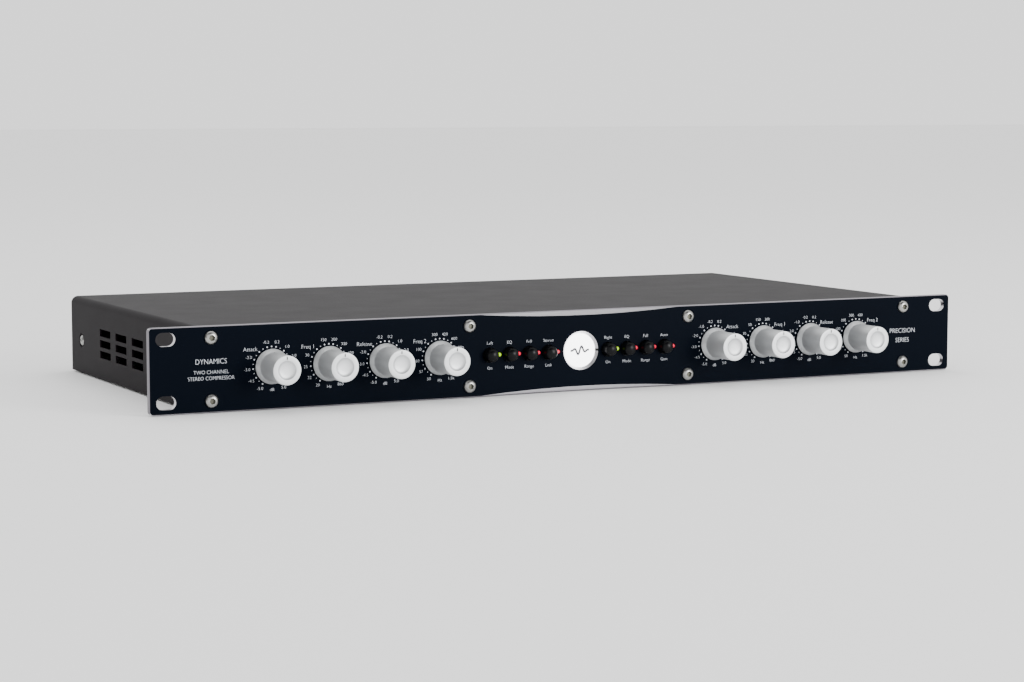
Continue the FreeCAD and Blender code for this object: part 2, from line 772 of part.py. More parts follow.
def make_lamps():
    """Round indicator lamps on two legs; the first of each group is green."""
    tip = "-panel_thickness - lamp_rise"
    points = [
        ("0", tip),
        ("lamp_radius", tip),
        ("lamp_radius", "lamp_foot_y"),
        ("lamp_radius + lamp_foot_rim", "lamp_foot_y"),
        ("lamp_radius + lamp_foot_rim", "lamp_foot_y + 1"),
        ("0", "lamp_foot_y + 1"),
    ]
    body = turned(points)
    tip_y = -SIZES["panel_thickness"] - SIZES["lamp_rise"]
    rounded(body, "lamp_radius * 0.6", lambda edge: abs(edge.CenterOfMass.y - tip_y) < 0.01)
    legs = []
    for side in SIDES:
        across = (f"{side} * 0.7 - lamp_leg / 2", f"{side} * 0.7 + lamp_leg / 2")
        legs.append(block(across, ("lamp_foot_y + 1", "board_y"), ("-lamp_leg / 2", "lamp_leg / 2")))
    lamp = joined(body, *legs)
    green = [lamp_places[0], lamp_places[COUNT_PER_SIDE]]
    red = [x for x in lamp_places if x not in green]
    group("green_lamps", lamp, [(x, "0", "0") for x in green])
    group("red_lamps", lamp, [(x, "0", "0") for x in red])


def make_badge():
    """Flanged white lens held between panel and chassis."""
    front = "-panel_thickness + badge_recess"
    points = [
        ("0", front),
        ("badge_radius - fit_clearance", front),
        ("badge_radius - fit_clearance", "0"),
        (BADGE_RIM, "0"),
        (BADGE_RIM, "tray_sheet"),
        ("0", "tray_sheet"),
    ]
    node("badge_lens", turned(points))


# ---------------------------------------------------------------- boards
def make_boards():
    """Upright control board with the badge's light module, and the main board on standoffs."""
    depth = ("board_y", "board_y + board_sheet")
    across = f"{CASE_HALF} - control_side_inset"
    up = f"{CASE_TOP} - control_top_inset"
    plate = block((f"-({across})", across), depth, (f"-({up})", up))
    half = "badge_light_side / 2"
    light_depth = ("board_y - badge_light_thickness", "board_y")
    light = block((f"-{half}", half), light_depth, (f"-{half}", half))
    node("control_board", joined(plate, light))

    columns = [f"{MAIN_LEFT} + standoff_inset", f"{MAIN_RIGHT} - standoff_inset"]
    columns.append(f"({MAIN_LEFT} + {MAIN_RIGHT}) / 2")
    rows = [f"{MAIN_FRONT} + standoff_inset", f"{MAIN_REAR} - standoff_inset"]
    feet = [(x, y) for x in columns for y in rows]
    plate = block((MAIN_LEFT, MAIN_RIGHT), (MAIN_FRONT, MAIN_REAR), (BOARD_LOW, BOARD_TOP))
    through = (f"{BOARD_LOW} - 1", f"{BOARD_TOP} + 1")
    holes = [rod("Z", "small_shank + hole_clearance", through, at) for at in feet]
    node("main_board", trimmed(plate, *holes))
    bore = "small_shank + fit_clearance"
    sleeve = [
        (bore, FLOOR_TOP),
        ("standoff_radius", FLOOR_TOP),
        ("standoff_radius", BOARD_LOW),
        (bore, BOARD_LOW),
    ]
    group("board_standoffs", turned(sleeve, axis="Z"), [(x, y, "0") for x, y in feet])
    screw = [
        ("0", f"{BOARD_TOP} + 1.6"),
        ("small_head", f"{BOARD_TOP} + 1.6"),
        ("small_head", BOARD_TOP),
        ("small_shank", BOARD_TOP),
        ("small_shank", f"{FLOOR_TOP} + 1"),
        ("0", f"{FLOOR_TOP} + 1"),
    ]
    group("board_screws", turned(screw, axis="Z"), [(x, y, "0") for x, y in feet])


def make_board_parts():
    """Reservoir capacitors, plug-in amplifier modules, a finned sink and its regulators."""
    can = rod("Z", "cap_radius", (BOARD_TOP, f"{BOARD_TOP} + cap_height"), ("0", "0"))
    cans = [(f"cap_first_x + {i} * cap_pitch", "cap_y", BOARD_TOP) for i in range(4)]
    group("capacitors", can, cans)
    modules = []
    for index in range(5):
        left = f"module_first_x + {index} * module_pitch"
        across = (left, f"{left} + module_length")
        depth = ("module_y", "module_y + module_thickness")
        modules.append(block(across, depth, (BOARD_TOP, f"{BOARD_TOP} + module_height")))
    collection("amplifier_modules", modules)
    across = ("sink_left_x", "sink_left_x + sink_base")
    depth = ("sink_front_y", "sink_front_y + sink_length")
    top = f"{BOARD_TOP} + sink_height"
    parts = [block(across, depth, (BOARD_TOP, top))]
    fin_count = 10
    for index in range(fin_count):
        front = f"sink_front_y + {index} * sink_fin_pitch"
        fin = ("sink_left_x", "sink_left_x + sink_width")
        parts.append(block(fin, (front, f"{front} + sink_fin"), (BOARD_TOP, top)))
    node("heat_sink", joined(*parts))
    chips = []
    for index in range(3):
        front = f"sink_front_y + sink_base + {index} * 2 * regulator_width"
        across = ("sink_left_x - regulator_thickness", "sink_left_x")
        depth = (front, f"{front} + regulator_width")
        chips.append(block(across, depth, (BOARD_TOP, f"{BOARD_TOP} + regulator_height")))
    collection("regulators", chips)


def make_ribbon_cable():
    """Flat cable from the back of the control board down to the front of the main board."""
    start = "board_y + board_sheet"
    upper = "3"
    rise = f"{upper} + ribbon_thickness"
    bend = f"{start} + 8"
    foot = f"{MAIN_FRONT} + 14"
    points = [
        (start, upper),
        (bend, upper),
        (foot, BOARD_TOP),
        (f"{foot} + 6", BOARD_TOP),
        (f"{foot} + 6", f"{BOARD_TOP} + ribbon_thickness"),
        (f"{foot} + ribbon_thickness", f"{BOARD_TOP} + ribbon_thickness"),
        (f"{bend} + ribbon_thickness", rise),
        (start, rise),
    ]
    node("ribbon_cable", padded("YZ_Plane", points, "-ribbon_half", "ribbon_half"))


def make_transformer():
    """Ring transformer on a pad, held down by a dished washer and a bolt."""
    pad_top = f"{FLOOR_TOP} + pad_thickness"
    clamp_top = f"{CEILING} - toroid_headroom - bolt_head_height"
    coil_top = f"{clamp_top} - clamp_sheet"
    coil = [
        ("toroid_bore", pad_top),
        ("toroid_radius", pad_top),
        ("toroid_radius", coil_top),
        ("toroid_bore", coil_top),
    ]
    body = turned(coil, axis="Z", x=TOROID_X, y="toroid_y")
    outer = 2 * SIZES["toroid_radius"]
    rounded(
        body,
        "toroid_round",
        lambda edge: edge.BoundBox.XLength > outer - 0.1 and edge.BoundBox.ZLength < 0.1,
    )
    node("transformer", body)
    bore = "bolt_radius + fit_clearance"
    centre = {"axis": "Z", "x": TOROID_X, "y": "toroid_y"}
    edge = "toroid_radius - 1"
    pad = [(bore, FLOOR_TOP), (edge, FLOOR_TOP), (edge, pad_top), (bore, pad_top)]
    node("transformer_pad", turned(pad, **centre))
    rim = "toroid_radius - clamp_inset"
    clamp = [(bore, coil_top), (rim, coil_top), (rim, clamp_top), (bore, clamp_top)]
    node("transformer_clamp", turned(clamp, **centre))
    bolt_top = f"{clamp_top} + bolt_head_height"
    bolt_end = f"{CASE_FLOOR} + seam_gap"
    bolt = [
        ("0", bolt_top),
        ("bolt_head", bolt_top),
        ("bolt_head", clamp_top),
        ("bolt_radius", clamp_top),
        ("bolt_radius", bolt_end),
        ("0", bolt_end),
    ]
    node("transformer_bolt", turned(bolt, **centre))


# ---------------------------------------------------------------- rear connectors
def connector_flange():
    """Rectangular flange with rounded corners and two holes for its screws."""
    corners = []
    for across, up in ((-1, -1), (1, -1), (1, 1), (-1, 1)):
        corners.append((f"{across} * {FLANGE_HALF}", f"{up} * {FLANGE_UP}"))
    body = padded("XZ_Plane", corners, "case_depth", REAR_FACE)
    sheet_depth = SIZES["flange_sheet"]
    rounded(body, "flange_corner", lambda edge: edge.BoundBox.YLength > sheet_depth / 2)
    return body


def connector_holes():
    """The two screw holes on the flange's diagonal."""
    through = ("case_depth - 1", f"{REAR_FACE} + 1")
    holes = []
    for side in SIDES:
        across = f"{side} * (shell_radius - flange_screw_side)"
        up = f"{side} * (shell_radius + flange_screw_lift)"
        holes.append(rod("Y", "small_shank + hole_clearance", through, (across, up)))
    return holes


def make_outputs():
    """Male three-pin sockets and their pins."""
    shell_front = f"{REAR_FACE} - shell_depth"
    shell = rod("Y", "shell_radius", (shell_front, "case_depth"), ("0", "0"))
    floor_y = f"{REAR_FACE} - socket_depth"
    bore = rod("Y", SOCKET, (floor_y, f"{REAR_FACE} + 1"), ("0", "0"))
    body = trimmed(joined(connector_flange(), shell), bore, *connector_holes())
    group("xlr_outputs", body, [(x, "0", "0") for x in output_places])
    pin = rod("Y", "pin_radius", (floor_y, f"{floor_y} + pin_length"), ("0", "0"))
    spots = []
    for x in output_places:
        for across, up in contact_places():
            spots.append((f"{x} + {across}", floor_y, up))
    group("xlr_pins", pin, spots)


def contact_places():
    """Three contacts on a circle: left, right and one below the middle."""
    return [
        ("contact_circle * sin(-60)", "contact_circle * cos(60)"),
        ("contact_circle * sin(60)", "contact_circle * cos(60)"),
        ("0 * contact_circle", "-contact_circle"),
    ]


def make_inputs():
    """Female three-contact sockets with a sprung release latch."""
    shell_front = f"{REAR_FACE} - shell_depth"
    shell = rod("Y", "shell_radius", (shell_front, "case_depth"), ("0", "0"))
    floor_y = f"{REAR_FACE} - socket_depth"
    bore = rod("Y", SOCKET, (floor_y, f"{REAR_FACE} + 1"), ("0", "0"))
    face = f"{REAR_FACE} - insert_recess"
    insert = rod("Y", f"{SOCKET} - insert_gap", (f"{floor_y} - 1", face), ("0", "0"))
    contacts = []
    for across, up in contact_places():
        contacts.append(rod("Y", "contact_hole", (f"{face} - contact_depth", f"{face} + 1"), (across, up)))
    room = "latch_half + hole_clearance"
    slot_depth = (f"{REAR_FACE} - latch_length - latch_travel - seam_gap", f"{REAR_FACE} + 1")
    slot_height = (f"{LATCH_LOW} - hole_clearance", f"{LATCH_HIGH} + hole_clearance")
    slot = block((f"-({room})", room), slot_depth, slot_height)
    shell_body = trimmed(joined(connector_flange(), shell), bore, slot, *connector_holes())
    body = trimmed(joined(shell_body, insert), *contacts)
    group("xlr_inputs", body, [(x, "0", "0") for x in input_places])
    for name, x in zip(("input_latch_left", "input_latch_right"), input_places):
        across = (f"{x} - latch_half", f"{x} + latch_half")
        depth = (f"{REAR_FACE} - latch_length", f"{REAR_FACE} + latch_rise")
        node(name, block(across, depth, (LATCH_LOW, LATCH_HIGH)))


def make_rear_screws():
    """Identical screws that hold the connector flanges, and the panel itself to the tray's lip."""
    spots = [(x, "0", z) for x, z in flange_screw_places]
    spots += [(x, "-flange_sheet", rear_screw_z) for x in rear_screw_places]
    group("rear_screws", pan_screw(REAR_FACE, "6"), spots)


def make_mains_inlet():
    """Snap-in module with a power socket, a fuse drawer and a rocker switch."""
    def centred(width):
        return (f"{INLET_X} - ({width}) / 2", f"{INLET_X} + ({width}) / 2")

    rim_height = "(inlet_body_height / 2 + inlet_rim)"
    flange_up = (f"-{rim_height}", rim_height)
    body_up = ("-inlet_body_height / 2", "inlet_body_height / 2")
    body_front = f"{INLET_FACE} - inlet_depth"
    flange = block(centred("inlet_body_width + 2 * inlet_rim"), ("case_depth", INLET_FACE), flange_up)
    case = block(centred("inlet_body_width"), (body_front, "case_depth"), body_up)
    out = f"{INLET_FACE} + 1"
    floor_y = f"{body_front} + socket_floor"
    socket_up = ("-socket_half_z", "socket_half_z")
    socket = block((SOCKET_LOW_X, SOCKET_HIGH_X), (floor_y, out), socket_up)
    gap = "hole_clearance"
    drawer_x = (f"{DRAWER_LOW_X} - {gap}", f"{INLET_X} + {gap}")
    drawer_up = (f"-drawer_half_z - {gap}", f"drawer_half_z + {gap}")
    drawer_bay = block(drawer_x, (f"{floor_y} - {gap}", out), drawer_up)
    rocker_x = (f"{ROCKER_LOW_X} - {gap}", f"{ROCKER_HIGH_X} + {gap}")
    rocker_up = ("-rocker_half - rocker_room", "rocker_half + rocker_room")
    rocker_bay = block(rocker_x, (f"{body_front} + 2 * socket_floor", out), rocker_up)
    pin_room = (f"{PIN_SPAN[0]} - {gap}", f"{PIN_SPAN[1]} + {gap}")
    pin_hole = rod("X", "rocker_pin + fit_clearance", pin_room, (ROCKER_Y, "0"))
    node("mains_inlet", trimmed(joined(flange, case), socket, drawer_bay, rocker_bay, pin_hole))

    middle = f"{SOCKET_LOW_X} + socket_width / 2"
    blades = []
    for shift, z in (("-1", "blade_pitch"), ("1", "0 * blade_pitch"), ("-1", "-blade_pitch")):
        x = f"{middle} + {shift} * blade_offset / 2"
        across = (f"{x} - blade_width / 2", f"{x} + blade_width / 2")
        up = (f"{z} - blade_thickness / 2", f"{z} + blade_thickness / 2")
        blades.append(block(across, (floor_y, f"{floor_y} + blade_length"), up))
    collection("inlet_blades", blades)

    drawer_depth = (floor_y, f"{INLET_FACE} + drawer_proud")
    tray = block((DRAWER_LOW_X, INLET_X), drawer_depth, ("-drawer_half_z", "drawer_half_z"))
    reach = "fuse_half + hole_clearance"
    well_y = (f"{floor_y} + 2", f"{floor_y} + 2 + 2 * fuse_radius + hole_clearance")
    well = block((f"{DRAWER_LOW_X} + drawer_wall", f"{INLET_X} + 1"), well_y, (f"-({reach})", reach))
    node("fuse_drawer", trimmed(tray, well))
    fuse_at = (f"{INLET_X} - fuse_radius - {gap}", f"{floor_y} + 2 + fuse_radius + {gap} / 2")
    node("fuse", rod("Z", "fuse_radius", ("-fuse_half", "fuse_half"), fuse_at))


def make_power_rocker():
    """Rocker with a hollow front, tilted to ON, on a pin that runs across it."""
    points = [
        ("-4", "-0.72 * rocker_half"),
        ("2", "-rocker_half"),
        ("4.8", "-rocker_half"),
        ("3.2", "0"),
        ("4.8", "rocker_half"),
        ("2", "rocker_half"),
        ("-4", "0.72 * rocker_half"),
    ]
    key = padded("YZ_Plane", points, "0", "rocker_width")
    pin = rod("X", "rocker_pin", PIN_SPAN, (ROCKER_Y, "0"))
    tilt = Rotation(Vector(1, 0, 0), SIZES["rocker_tilt"])
    place(key, ROCKER_LOW_X, ROCKER_Y, "0", turn=tilt)
    node("power_rocker", joined(key, pin))


# ---------------------------------------------------------------- build
make_front_panel()
make_panel_screws()
make_chassis_tray()
make_top_cover()
make_cover_screws()
make_rear_panel()
make_knobs()
make_potentiometers()
make_buttons()
make_lamps()
make_badge()
make_boards()
make_board_parts()
make_ribbon_cable()
make_transformer()
make_outputs()
make_inputs()
make_rear_screws()
make_mains_inlet()
make_power_rocker()
doc.recompute()

for item in doc.Objects:
    if "Invalid" in item.State or "Error" in item.State:
        raise RuntimeError(f"{item.Name} ({item.Label}) failed: {item.State}")
for label, item in nodes.items():
    if item.Shape.isNull() or not item.Shape.isValid():
        raise RuntimeError(f"{label} has no valid shape")
    if not item.Shape.Solids:
        raise RuntimeError(f"{label} holds no solid")

os.makedirs("parts", exist_ok=True)
for label, item in nodes.items():
    item.Shape.exportStep(f"parts/{label}.step")
    box = item.Shape.BoundBox
    print(f"{label:22s} solids {len(item.Shape.Solids):2d} volume {item.Shape.Volume:10.1f}"
          f" x {box.XMin:7.1f} {box.XMax:7.1f} y {box.YMin:6.1f} {box.YMax:6.1f}"
          f" z {box.ZMin:6.1f} {box.ZMax:6.1f}")
print(len(nodes), "nodes")
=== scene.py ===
"""Looks of the two-channel rack compressor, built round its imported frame.

Every length is in metres and every place is in the part's own frame: X to the right,
Y to the back, Z up, with the origin in the middle of the front panel's rear face.
"""
import logging
import math
from dataclasses import dataclass, field
from enum import Enum
from typing import Callable, Dict, Iterable, List, Optional, Sequence, Tuple, Union

import bmesh
import bpy
from mathutils import Matrix, Vector


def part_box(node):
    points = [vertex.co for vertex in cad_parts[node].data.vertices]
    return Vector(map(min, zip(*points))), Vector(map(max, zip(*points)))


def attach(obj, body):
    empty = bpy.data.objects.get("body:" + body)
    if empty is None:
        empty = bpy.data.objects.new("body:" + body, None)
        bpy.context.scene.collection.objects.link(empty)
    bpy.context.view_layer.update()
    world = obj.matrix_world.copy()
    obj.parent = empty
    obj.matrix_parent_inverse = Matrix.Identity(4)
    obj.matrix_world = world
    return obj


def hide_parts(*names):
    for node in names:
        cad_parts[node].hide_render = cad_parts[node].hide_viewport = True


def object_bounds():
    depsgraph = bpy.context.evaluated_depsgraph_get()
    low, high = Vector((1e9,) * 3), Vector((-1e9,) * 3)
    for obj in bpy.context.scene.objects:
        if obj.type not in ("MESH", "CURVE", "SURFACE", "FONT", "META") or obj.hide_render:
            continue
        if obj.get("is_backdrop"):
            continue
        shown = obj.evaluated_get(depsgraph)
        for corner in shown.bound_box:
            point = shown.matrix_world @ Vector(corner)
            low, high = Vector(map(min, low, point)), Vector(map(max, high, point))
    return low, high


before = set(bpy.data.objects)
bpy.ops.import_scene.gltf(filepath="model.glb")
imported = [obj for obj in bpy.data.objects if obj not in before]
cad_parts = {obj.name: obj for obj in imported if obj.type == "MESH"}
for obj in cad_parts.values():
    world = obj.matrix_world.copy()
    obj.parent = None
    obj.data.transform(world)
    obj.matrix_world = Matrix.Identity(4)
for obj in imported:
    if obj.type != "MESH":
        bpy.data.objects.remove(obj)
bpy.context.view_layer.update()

log = logging.getLogger("compressor")
MM = 0.001
CASE = "case"
PROFILE_RUN = "profile_run"
TURN_RADIUS = "turn_radius"
UNLIT = (0.0, 0.0, 0.0)
Colour = Tuple[float, float, float]
Pair = Tuple[float, float]


# ------------------------------------------------------------------ shader maths
class Wire:
    """A shader socket that takes part in sums, products and comparisons."""

    def __init__(self, shader: "Shader", socket: bpy.types.NodeSocket) -> None:
        """Wrap a socket.

        Args:
            shader: the material that the socket belongs to.
            socket: an output socket that carries a number.
        """
        self.shader = shader
        self.socket = socket

    def maths(self, operation: str, first: "Value", second: "Value" = 0.0) -> "Wire":
        """Add one Math node.

        Args:
            operation: the node's operation, such as MULTIPLY.
            first: its first value or link.
            second: its second value or link.

        Returns:
            The node's result.
        """
        made = self.shader.node("ShaderNodeMath", {"operation": operation}, {0: first, 1: second})
        return Wire(self.shader, made.outputs[0])

    def __add__(self, other: "Value") -> "Wire":
        """Sum."""
        return self.maths("ADD", self, other)

    def __radd__(self, other: "Value") -> "Wire":
        """Sum with a number on the left."""
        return self.maths("ADD", other, self)

    def __sub__(self, other: "Value") -> "Wire":
        """Difference."""
        return self.maths("SUBTRACT", self, other)

    def __rsub__(self, other: "Value") -> "Wire":
        """Difference from a number on the left."""
        return self.maths("SUBTRACT", other, self)

    def __mul__(self, other: "Value") -> "Wire":
        """Product."""
        return self.maths("MULTIPLY", self, other)

    def __rmul__(self, other: "Value") -> "Wire":
        """Product with a number on the left."""
        return self.maths("MULTIPLY", other, self)

    def __truediv__(self, other: "Value") -> "Wire":
        """Quotient."""
        return self.maths("DIVIDE", self, other)

    def __gt__(self, other: "Value") -> "Wire":
        """One where this is greater, else nought."""
        return self.maths("GREATER_THAN", self, other)

    def __lt__(self, other: "Value") -> "Wire":
        """One where this is less, else nought."""
        return self.maths("LESS_THAN", self, other)

    def __abs__(self) -> "Wire":
        """Absolute value."""
        return self.maths("ABSOLUTE", self)

    def wrapped(self, period: float) -> "Wire":
        """Distance into a repeating period."""
        return self.maths("FLOORED_MODULO", self, period)


Value = Union[float, Wire]


class Shader:
    """One material and the nodes that feed its surface shader."""

    def __init__(self, name: str) -> None:
        """Start a material.

        Args:
            name: the material's name.
        """
        self.material = bpy.data.materials.new(name)
        self.material.use_nodes = True
        self.tree = self.material.node_tree
        self.surface = self.tree.nodes["Principled BSDF"]

    def node(
        self, kind: str, settings: Optional[dict] = None, inputs: Optional[dict] = None,
    ) -> bpy.types.Node:
        """Add any node.

        Args:
            kind: the node's type.
            settings: properties set first; "stops" holds a ramp's (place, colour) pairs.
            inputs: values or links for its sockets, by name or number.

        Returns:
            The new node.
        """
        made = self.tree.nodes.new(kind)
        for key, value in (settings or {}).items():
            if key == "stops":
                self.set_stops(made.color_ramp, value)
            else:
                setattr(made, key, value)
        for key, value in (inputs or {}).items():
            self.feed(made.inputs[key], value)
        return made

    def set_stops(self, ramp: bpy.types.ColorRamp, stops: Sequence[Tuple[float, Colour]]) -> None:
        """Give a colour ramp its stops.

        Args:
            ramp: the ramp, which starts with two stops.
            stops: (place, colour) pairs in order.
        """
        for _ in range(len(stops) - 2):
            ramp.elements.new(0.5)
        for element, (place, colour) in zip(ramp.elements, stops):
            element.position = place
            element.color = (*colour, 1.0)

    def feed(self, target: bpy.types.NodeSocket, value: object) -> None:
        """Link a wire or socket, or set a constant.

        Args:
            target: the input socket.
            value: a Wire, an output socket, a number or a colour.
        """
        if isinstance(value, Wire):
            value = value.socket
        if isinstance(value, bpy.types.NodeSocket):
            self.tree.links.new(value, target)
        elif target.type == "RGBA" and len(value) == 3:
            target.default_value = (*value, 1.0)
        else:
            target.default_value = value

    def set(self, **sockets: object) -> "Shader":
        """Feed the surface shader's sockets; underscores stand for spaces.

        Args:
            sockets: values or links by socket name.

        Returns:
            The shader itself.
        """
        for name, value in sockets.items():
            self.feed(self.surface.inputs[name.replace("_", " ")], value)
        return self

    def object_point(self) -> bpy.types.NodeSocket:
        """Place on the piece, in the part's frame."""
        return self.node("ShaderNodeTexCoord").outputs["Object"]

    def axes(self) -> Tuple[Wire, Wire, Wire]:
        """X, Y and Z of the place on the piece."""
        split = self.node("ShaderNodeSeparateXYZ", inputs={0: self.object_point()})
        return tuple(Wire(self, output) for output in split.outputs)

    def stretched(self, scale: Sequence[float]) -> bpy.types.NodeSocket:
        """Place on the piece, scaled along each axis.

        Args:
            scale: cycles per metre along X, Y and Z.

        Returns:
            The scaled vector.
        """
        settings = {"operation": "MULTIPLY"}
        made = self.node("ShaderNodeVectorMath", settings, {0: self.object_point(), 1: tuple(scale)})
        return made.outputs[0]

    def noise(self, vector: bpy.types.NodeSocket, scale: float = 1.0, detail: float = 2.0) -> Wire:
        """Smooth noise from nought to one.

        Args:
            vector: where it is read.
            scale: how fine it is.
            detail: how many finer layers it has.

        Returns:
            The noise value.
        """
        made = self.node("ShaderNodeTexNoise", inputs={"Vector": vector, "Scale": scale, "Detail": detail})
        return Wire(self, made.outputs[0])

    def cells(self, vector: bpy.types.NodeSocket, feature: str = "F1") -> Wire:
        """Distance to the nearest of scattered points.

        Args:
            vector: where it is read.
            feature: the Voronoi feature.

        Returns:
            The distance.
        """
        made = self.node("ShaderNodeTexVoronoi", {"feature": feature}, {"Vector": vector, "Scale": 1.0})
        return Wire(self, made.outputs["Distance"])

    def attribute(self, name: str) -> Wire:
        """A number that the mesh holds at its points."""
        made = self.node("ShaderNodeAttribute", {"attribute_name": name})
        return Wire(self, made.outputs["Fac"])

    def vector(self, x: Value, y: Value, z: Value) -> bpy.types.NodeSocket:
        """Three numbers as one vector."""
        return self.node("ShaderNodeCombineXYZ", inputs={0: x, 1: y, 2: z}).outputs[0]

    def blend(self, share: Value, first: object, second: object) -> bpy.types.NodeSocket:
        """Colour between two.

        Args:
            share: nought for the first, one for the second.
            first: a colour or a colour socket.
            second: a colour or a colour socket.

        Returns:
            The mixed colour.
        """
        made = self.node("ShaderNodeMix", {"data_type": "RGBA"}, {0: share, 6: first, 7: second})
        return made.outputs[2]

    def ramp(self, share: Value, low: float, high: float, start: float, end: float) -> Wire:
        """Number that follows another between limits.

        Args:
            share: the number that is followed.
            low: its value at the start.
            high: its value at the end.
            start: the result at low.
            end: the result at high.

        Returns:
            The result.
        """
        values = {0: share, 1: low, 2: high, 3: start, 4: end}
        return Wire(self, self.node("ShaderNodeMapRange", inputs=values).outputs[0])

    def bump(self, height: Value, depth: float, strength: float = 1.0) -> "Shader":
        """Raise the surface by a height from nought to one.

        Args:
            height: the height.
            depth: how high one is, in metres.
            strength: how strongly it shows.

        Returns:
            The shader itself.
        """
        values = {"Height": height, "Distance": depth, "Strength": strength}
        made = self.node("ShaderNodeBump", inputs=values)
        return self.set(Normal=made.outputs[0])


# ------------------------------------------------------------------ finishes
def toned(colour: Colour, share: float) -> Colour:
    """A colour made darker or lighter by a share, with no channel past one."""
    return tuple(min(1.0, channel * share) for channel in colour)


class Grain(Enum):
    """Direction in which a surface was brushed, rolled or moulded."""

    NONE = (1.0, 1.0, 1.0)
    ALONG_X = (0.02, 1.0, 1.0)
    ALONG_Y = (1.0, 0.02, 1.0)
    ALONG_Z = (1.0, 1.0, 0.02)


@dataclass(frozen=True)
class Finish:
    """A surface with fine grain, slow colour change and uneven gloss."""

    name: str
    colour: Colour
    roughness: float
    metallic: float = 0.0
    grain: Grain = Grain.NONE
    grain_pitch: float = 0.4 * MM
    grain_depth: float = 0.01 * MM
    tint: float = 0.08
    gloss_change: float = 0.12
    specular: float = 0.5
    coat: float = 0.0
    coat_roughness: float = 0.12

    def make(self) -> bpy.types.Material:
        """Build the material.

        Returns:
            The material.
        """
        shader = Shader(self.name)
        scale = [axis / self.grain_pitch for axis in self.grain.value]
        fine = shader.noise(shader.stretched(scale), 1.0, 3.0)
        broad = shader.noise(shader.object_point(), 45.0, 3.0)
        dark = toned(self.colour, 1 - self.tint)
        light = toned(self.colour, 1 + self.tint)
        shader.set(
            Base_Color=shader.blend(broad * 0.6 + fine * 0.4, dark, light),
            Roughness=self.roughness + (fine * 0.5 + broad * 0.5 - 0.5) * self.gloss_change,
            Metallic=self.metallic,
            Specular_IOR_Level=self.specular,
            Coat_Weight=self.coat,
            Coat_Roughness=self.coat_roughness,
        )
        shader.bump(fine, self.grain_depth)
        return shader.material


@dataclass(frozen=True)
class TurnedFinish:
    """Metal turned on a lathe: fine rings that follow each piece's own axis."""

    name: str
    colour: Colour
    roughness: float
    ring_pitch: float = 0.16 * MM
    ring_depth: float = 0.006 * MM
    metallic: float = 1.0

    def make(self) -> bpy.types.Material:
        """Build the material from the piece's turning attributes.

        Returns:
            The material.
        """
        shader = Shader(self.name)
        run = shader.attribute(PROFILE_RUN)
        rings = shader.noise(shader.vector(run / self.ring_pitch, 0.0, 0.0), 1.0, 4.0)
        haze = shader.noise(shader.object_point(), 260.0, 3.0)
        dark = toned(self.colour, 0.9)
        shader.set(
            Base_Color=shader.blend(rings * 0.5 + haze * 0.5, dark, self.colour),
            Roughness=self.roughness + (rings - 0.5) * 0.16 + (haze - 0.5) * 0.08,
            Metallic=self.metallic,
        )
        shader.bump(rings, self.ring_depth)
        return shader.material


@dataclass(frozen=True)
class PanelFinish:
    """Plate that is black on its front face and bare metal wherever it was cut."""

    name: str
    face: Colour
    metal: Colour
    rim: Colour
    corner: Vector
    hair: float = 0.02 * MM
    bevel: float = 0.45 * MM

    def make(self) -> bpy.types.Material:
        """Build the material; face, cuts and the sawn rim are told apart by place alone.

        Returns:
            The material.
        """
        shader = Shader(self.name)
        x, depth, z = shader.axes()
        cut = depth > (self.corner.y + self.hair)
        beyond = (abs(x) > (abs(self.corner.x) - self.bevel)) + (abs(z) > (abs(self.corner.z) - self.bevel))
        rim = beyond > 0.5
        brushed = shader.noise(shader.stretched((60.0, 2600.0, 2600.0)), 1.0, 3.0)
        blasted = shader.noise(shader.object_point(), 3200.0, 2.0)
        cloud = shader.noise(shader.object_point(), 14.0, 2.0)
        face = shader.blend(cloud, self.face, toned(self.face, 1.5))
        metal = shader.blend(brushed, toned(self.metal, 0.82), self.metal)
        bare = shader.blend(rim, metal, self.rim)
        shader.set(
            Base_Color=shader.blend(cut, face, bare),
            Metallic=cut * (1 - rim),
            Roughness=shader.ramp(cut, 0.0, 1.0, 0.42, 0.3) + (blasted - 0.5) * 0.12,
            Specular_IOR_Level=0.02,
        )
        shader.bump(blasted * (1 - cut) + brushed * cut, 0.006 * MM)
        return shader.material


@dataclass(frozen=True)
class GlowFinish:
    """Lit plastic, brightest in the middle of each lamp."""

    name: str
    colour: Colour
    core: Colour
    strength: float
    lit_depth: float
    fade: float = 1.15 * MM

    def make(self) -> bpy.types.Material:
        """Build the material; only the tip glows, and its light fades towards the rim.

        Returns:
            The material.
        """
        shader = Shader(self.name)
        _, depth, _ = shader.axes()
        radius = shader.attribute(TURN_RADIUS)
        share = shader.ramp(radius, 0.0, self.fade, 0.0, 1.0)
        mottle = shader.noise(shader.object_point(), 900.0, 2.0)
        glow = shader.blend(share, self.core, self.colour)
        lit = shader.blend(depth > self.lit_depth, glow, UNLIT)
        shader.set(
            Base_Color=shader.blend(mottle, self.colour, self.core),
            Roughness=0.25 + mottle * 0.1,
            Emission_Color=lit,
            Emission_Strength=self.strength,
        )
        return shader.material


@dataclass(frozen=True)
class DiffuserFinish:
    """Opal disc lit from behind."""

    name: str
    colour: Colour
    strength: float
    lit_depth: float

    def make(self) -> bpy.types.Material:
        """Build the material with a faint cloud in the light; only the front face glows.

        Returns:
            The material.
        """
        shader = Shader(self.name)
        _, depth, _ = shader.axes()
        cloud = shader.noise(shader.object_point(), 120.0, 2.0)
        dim = toned(self.colour, 0.93)
        opal = shader.blend(cloud, dim, self.colour)
        shader.set(
            Base_Color=opal,
            Roughness=0.22 + cloud * 0.08,
            Emission_Color=shader.blend(depth > self.lit_depth, opal, UNLIT),
            Emission_Strength=self.strength,
        )
        return shader.material


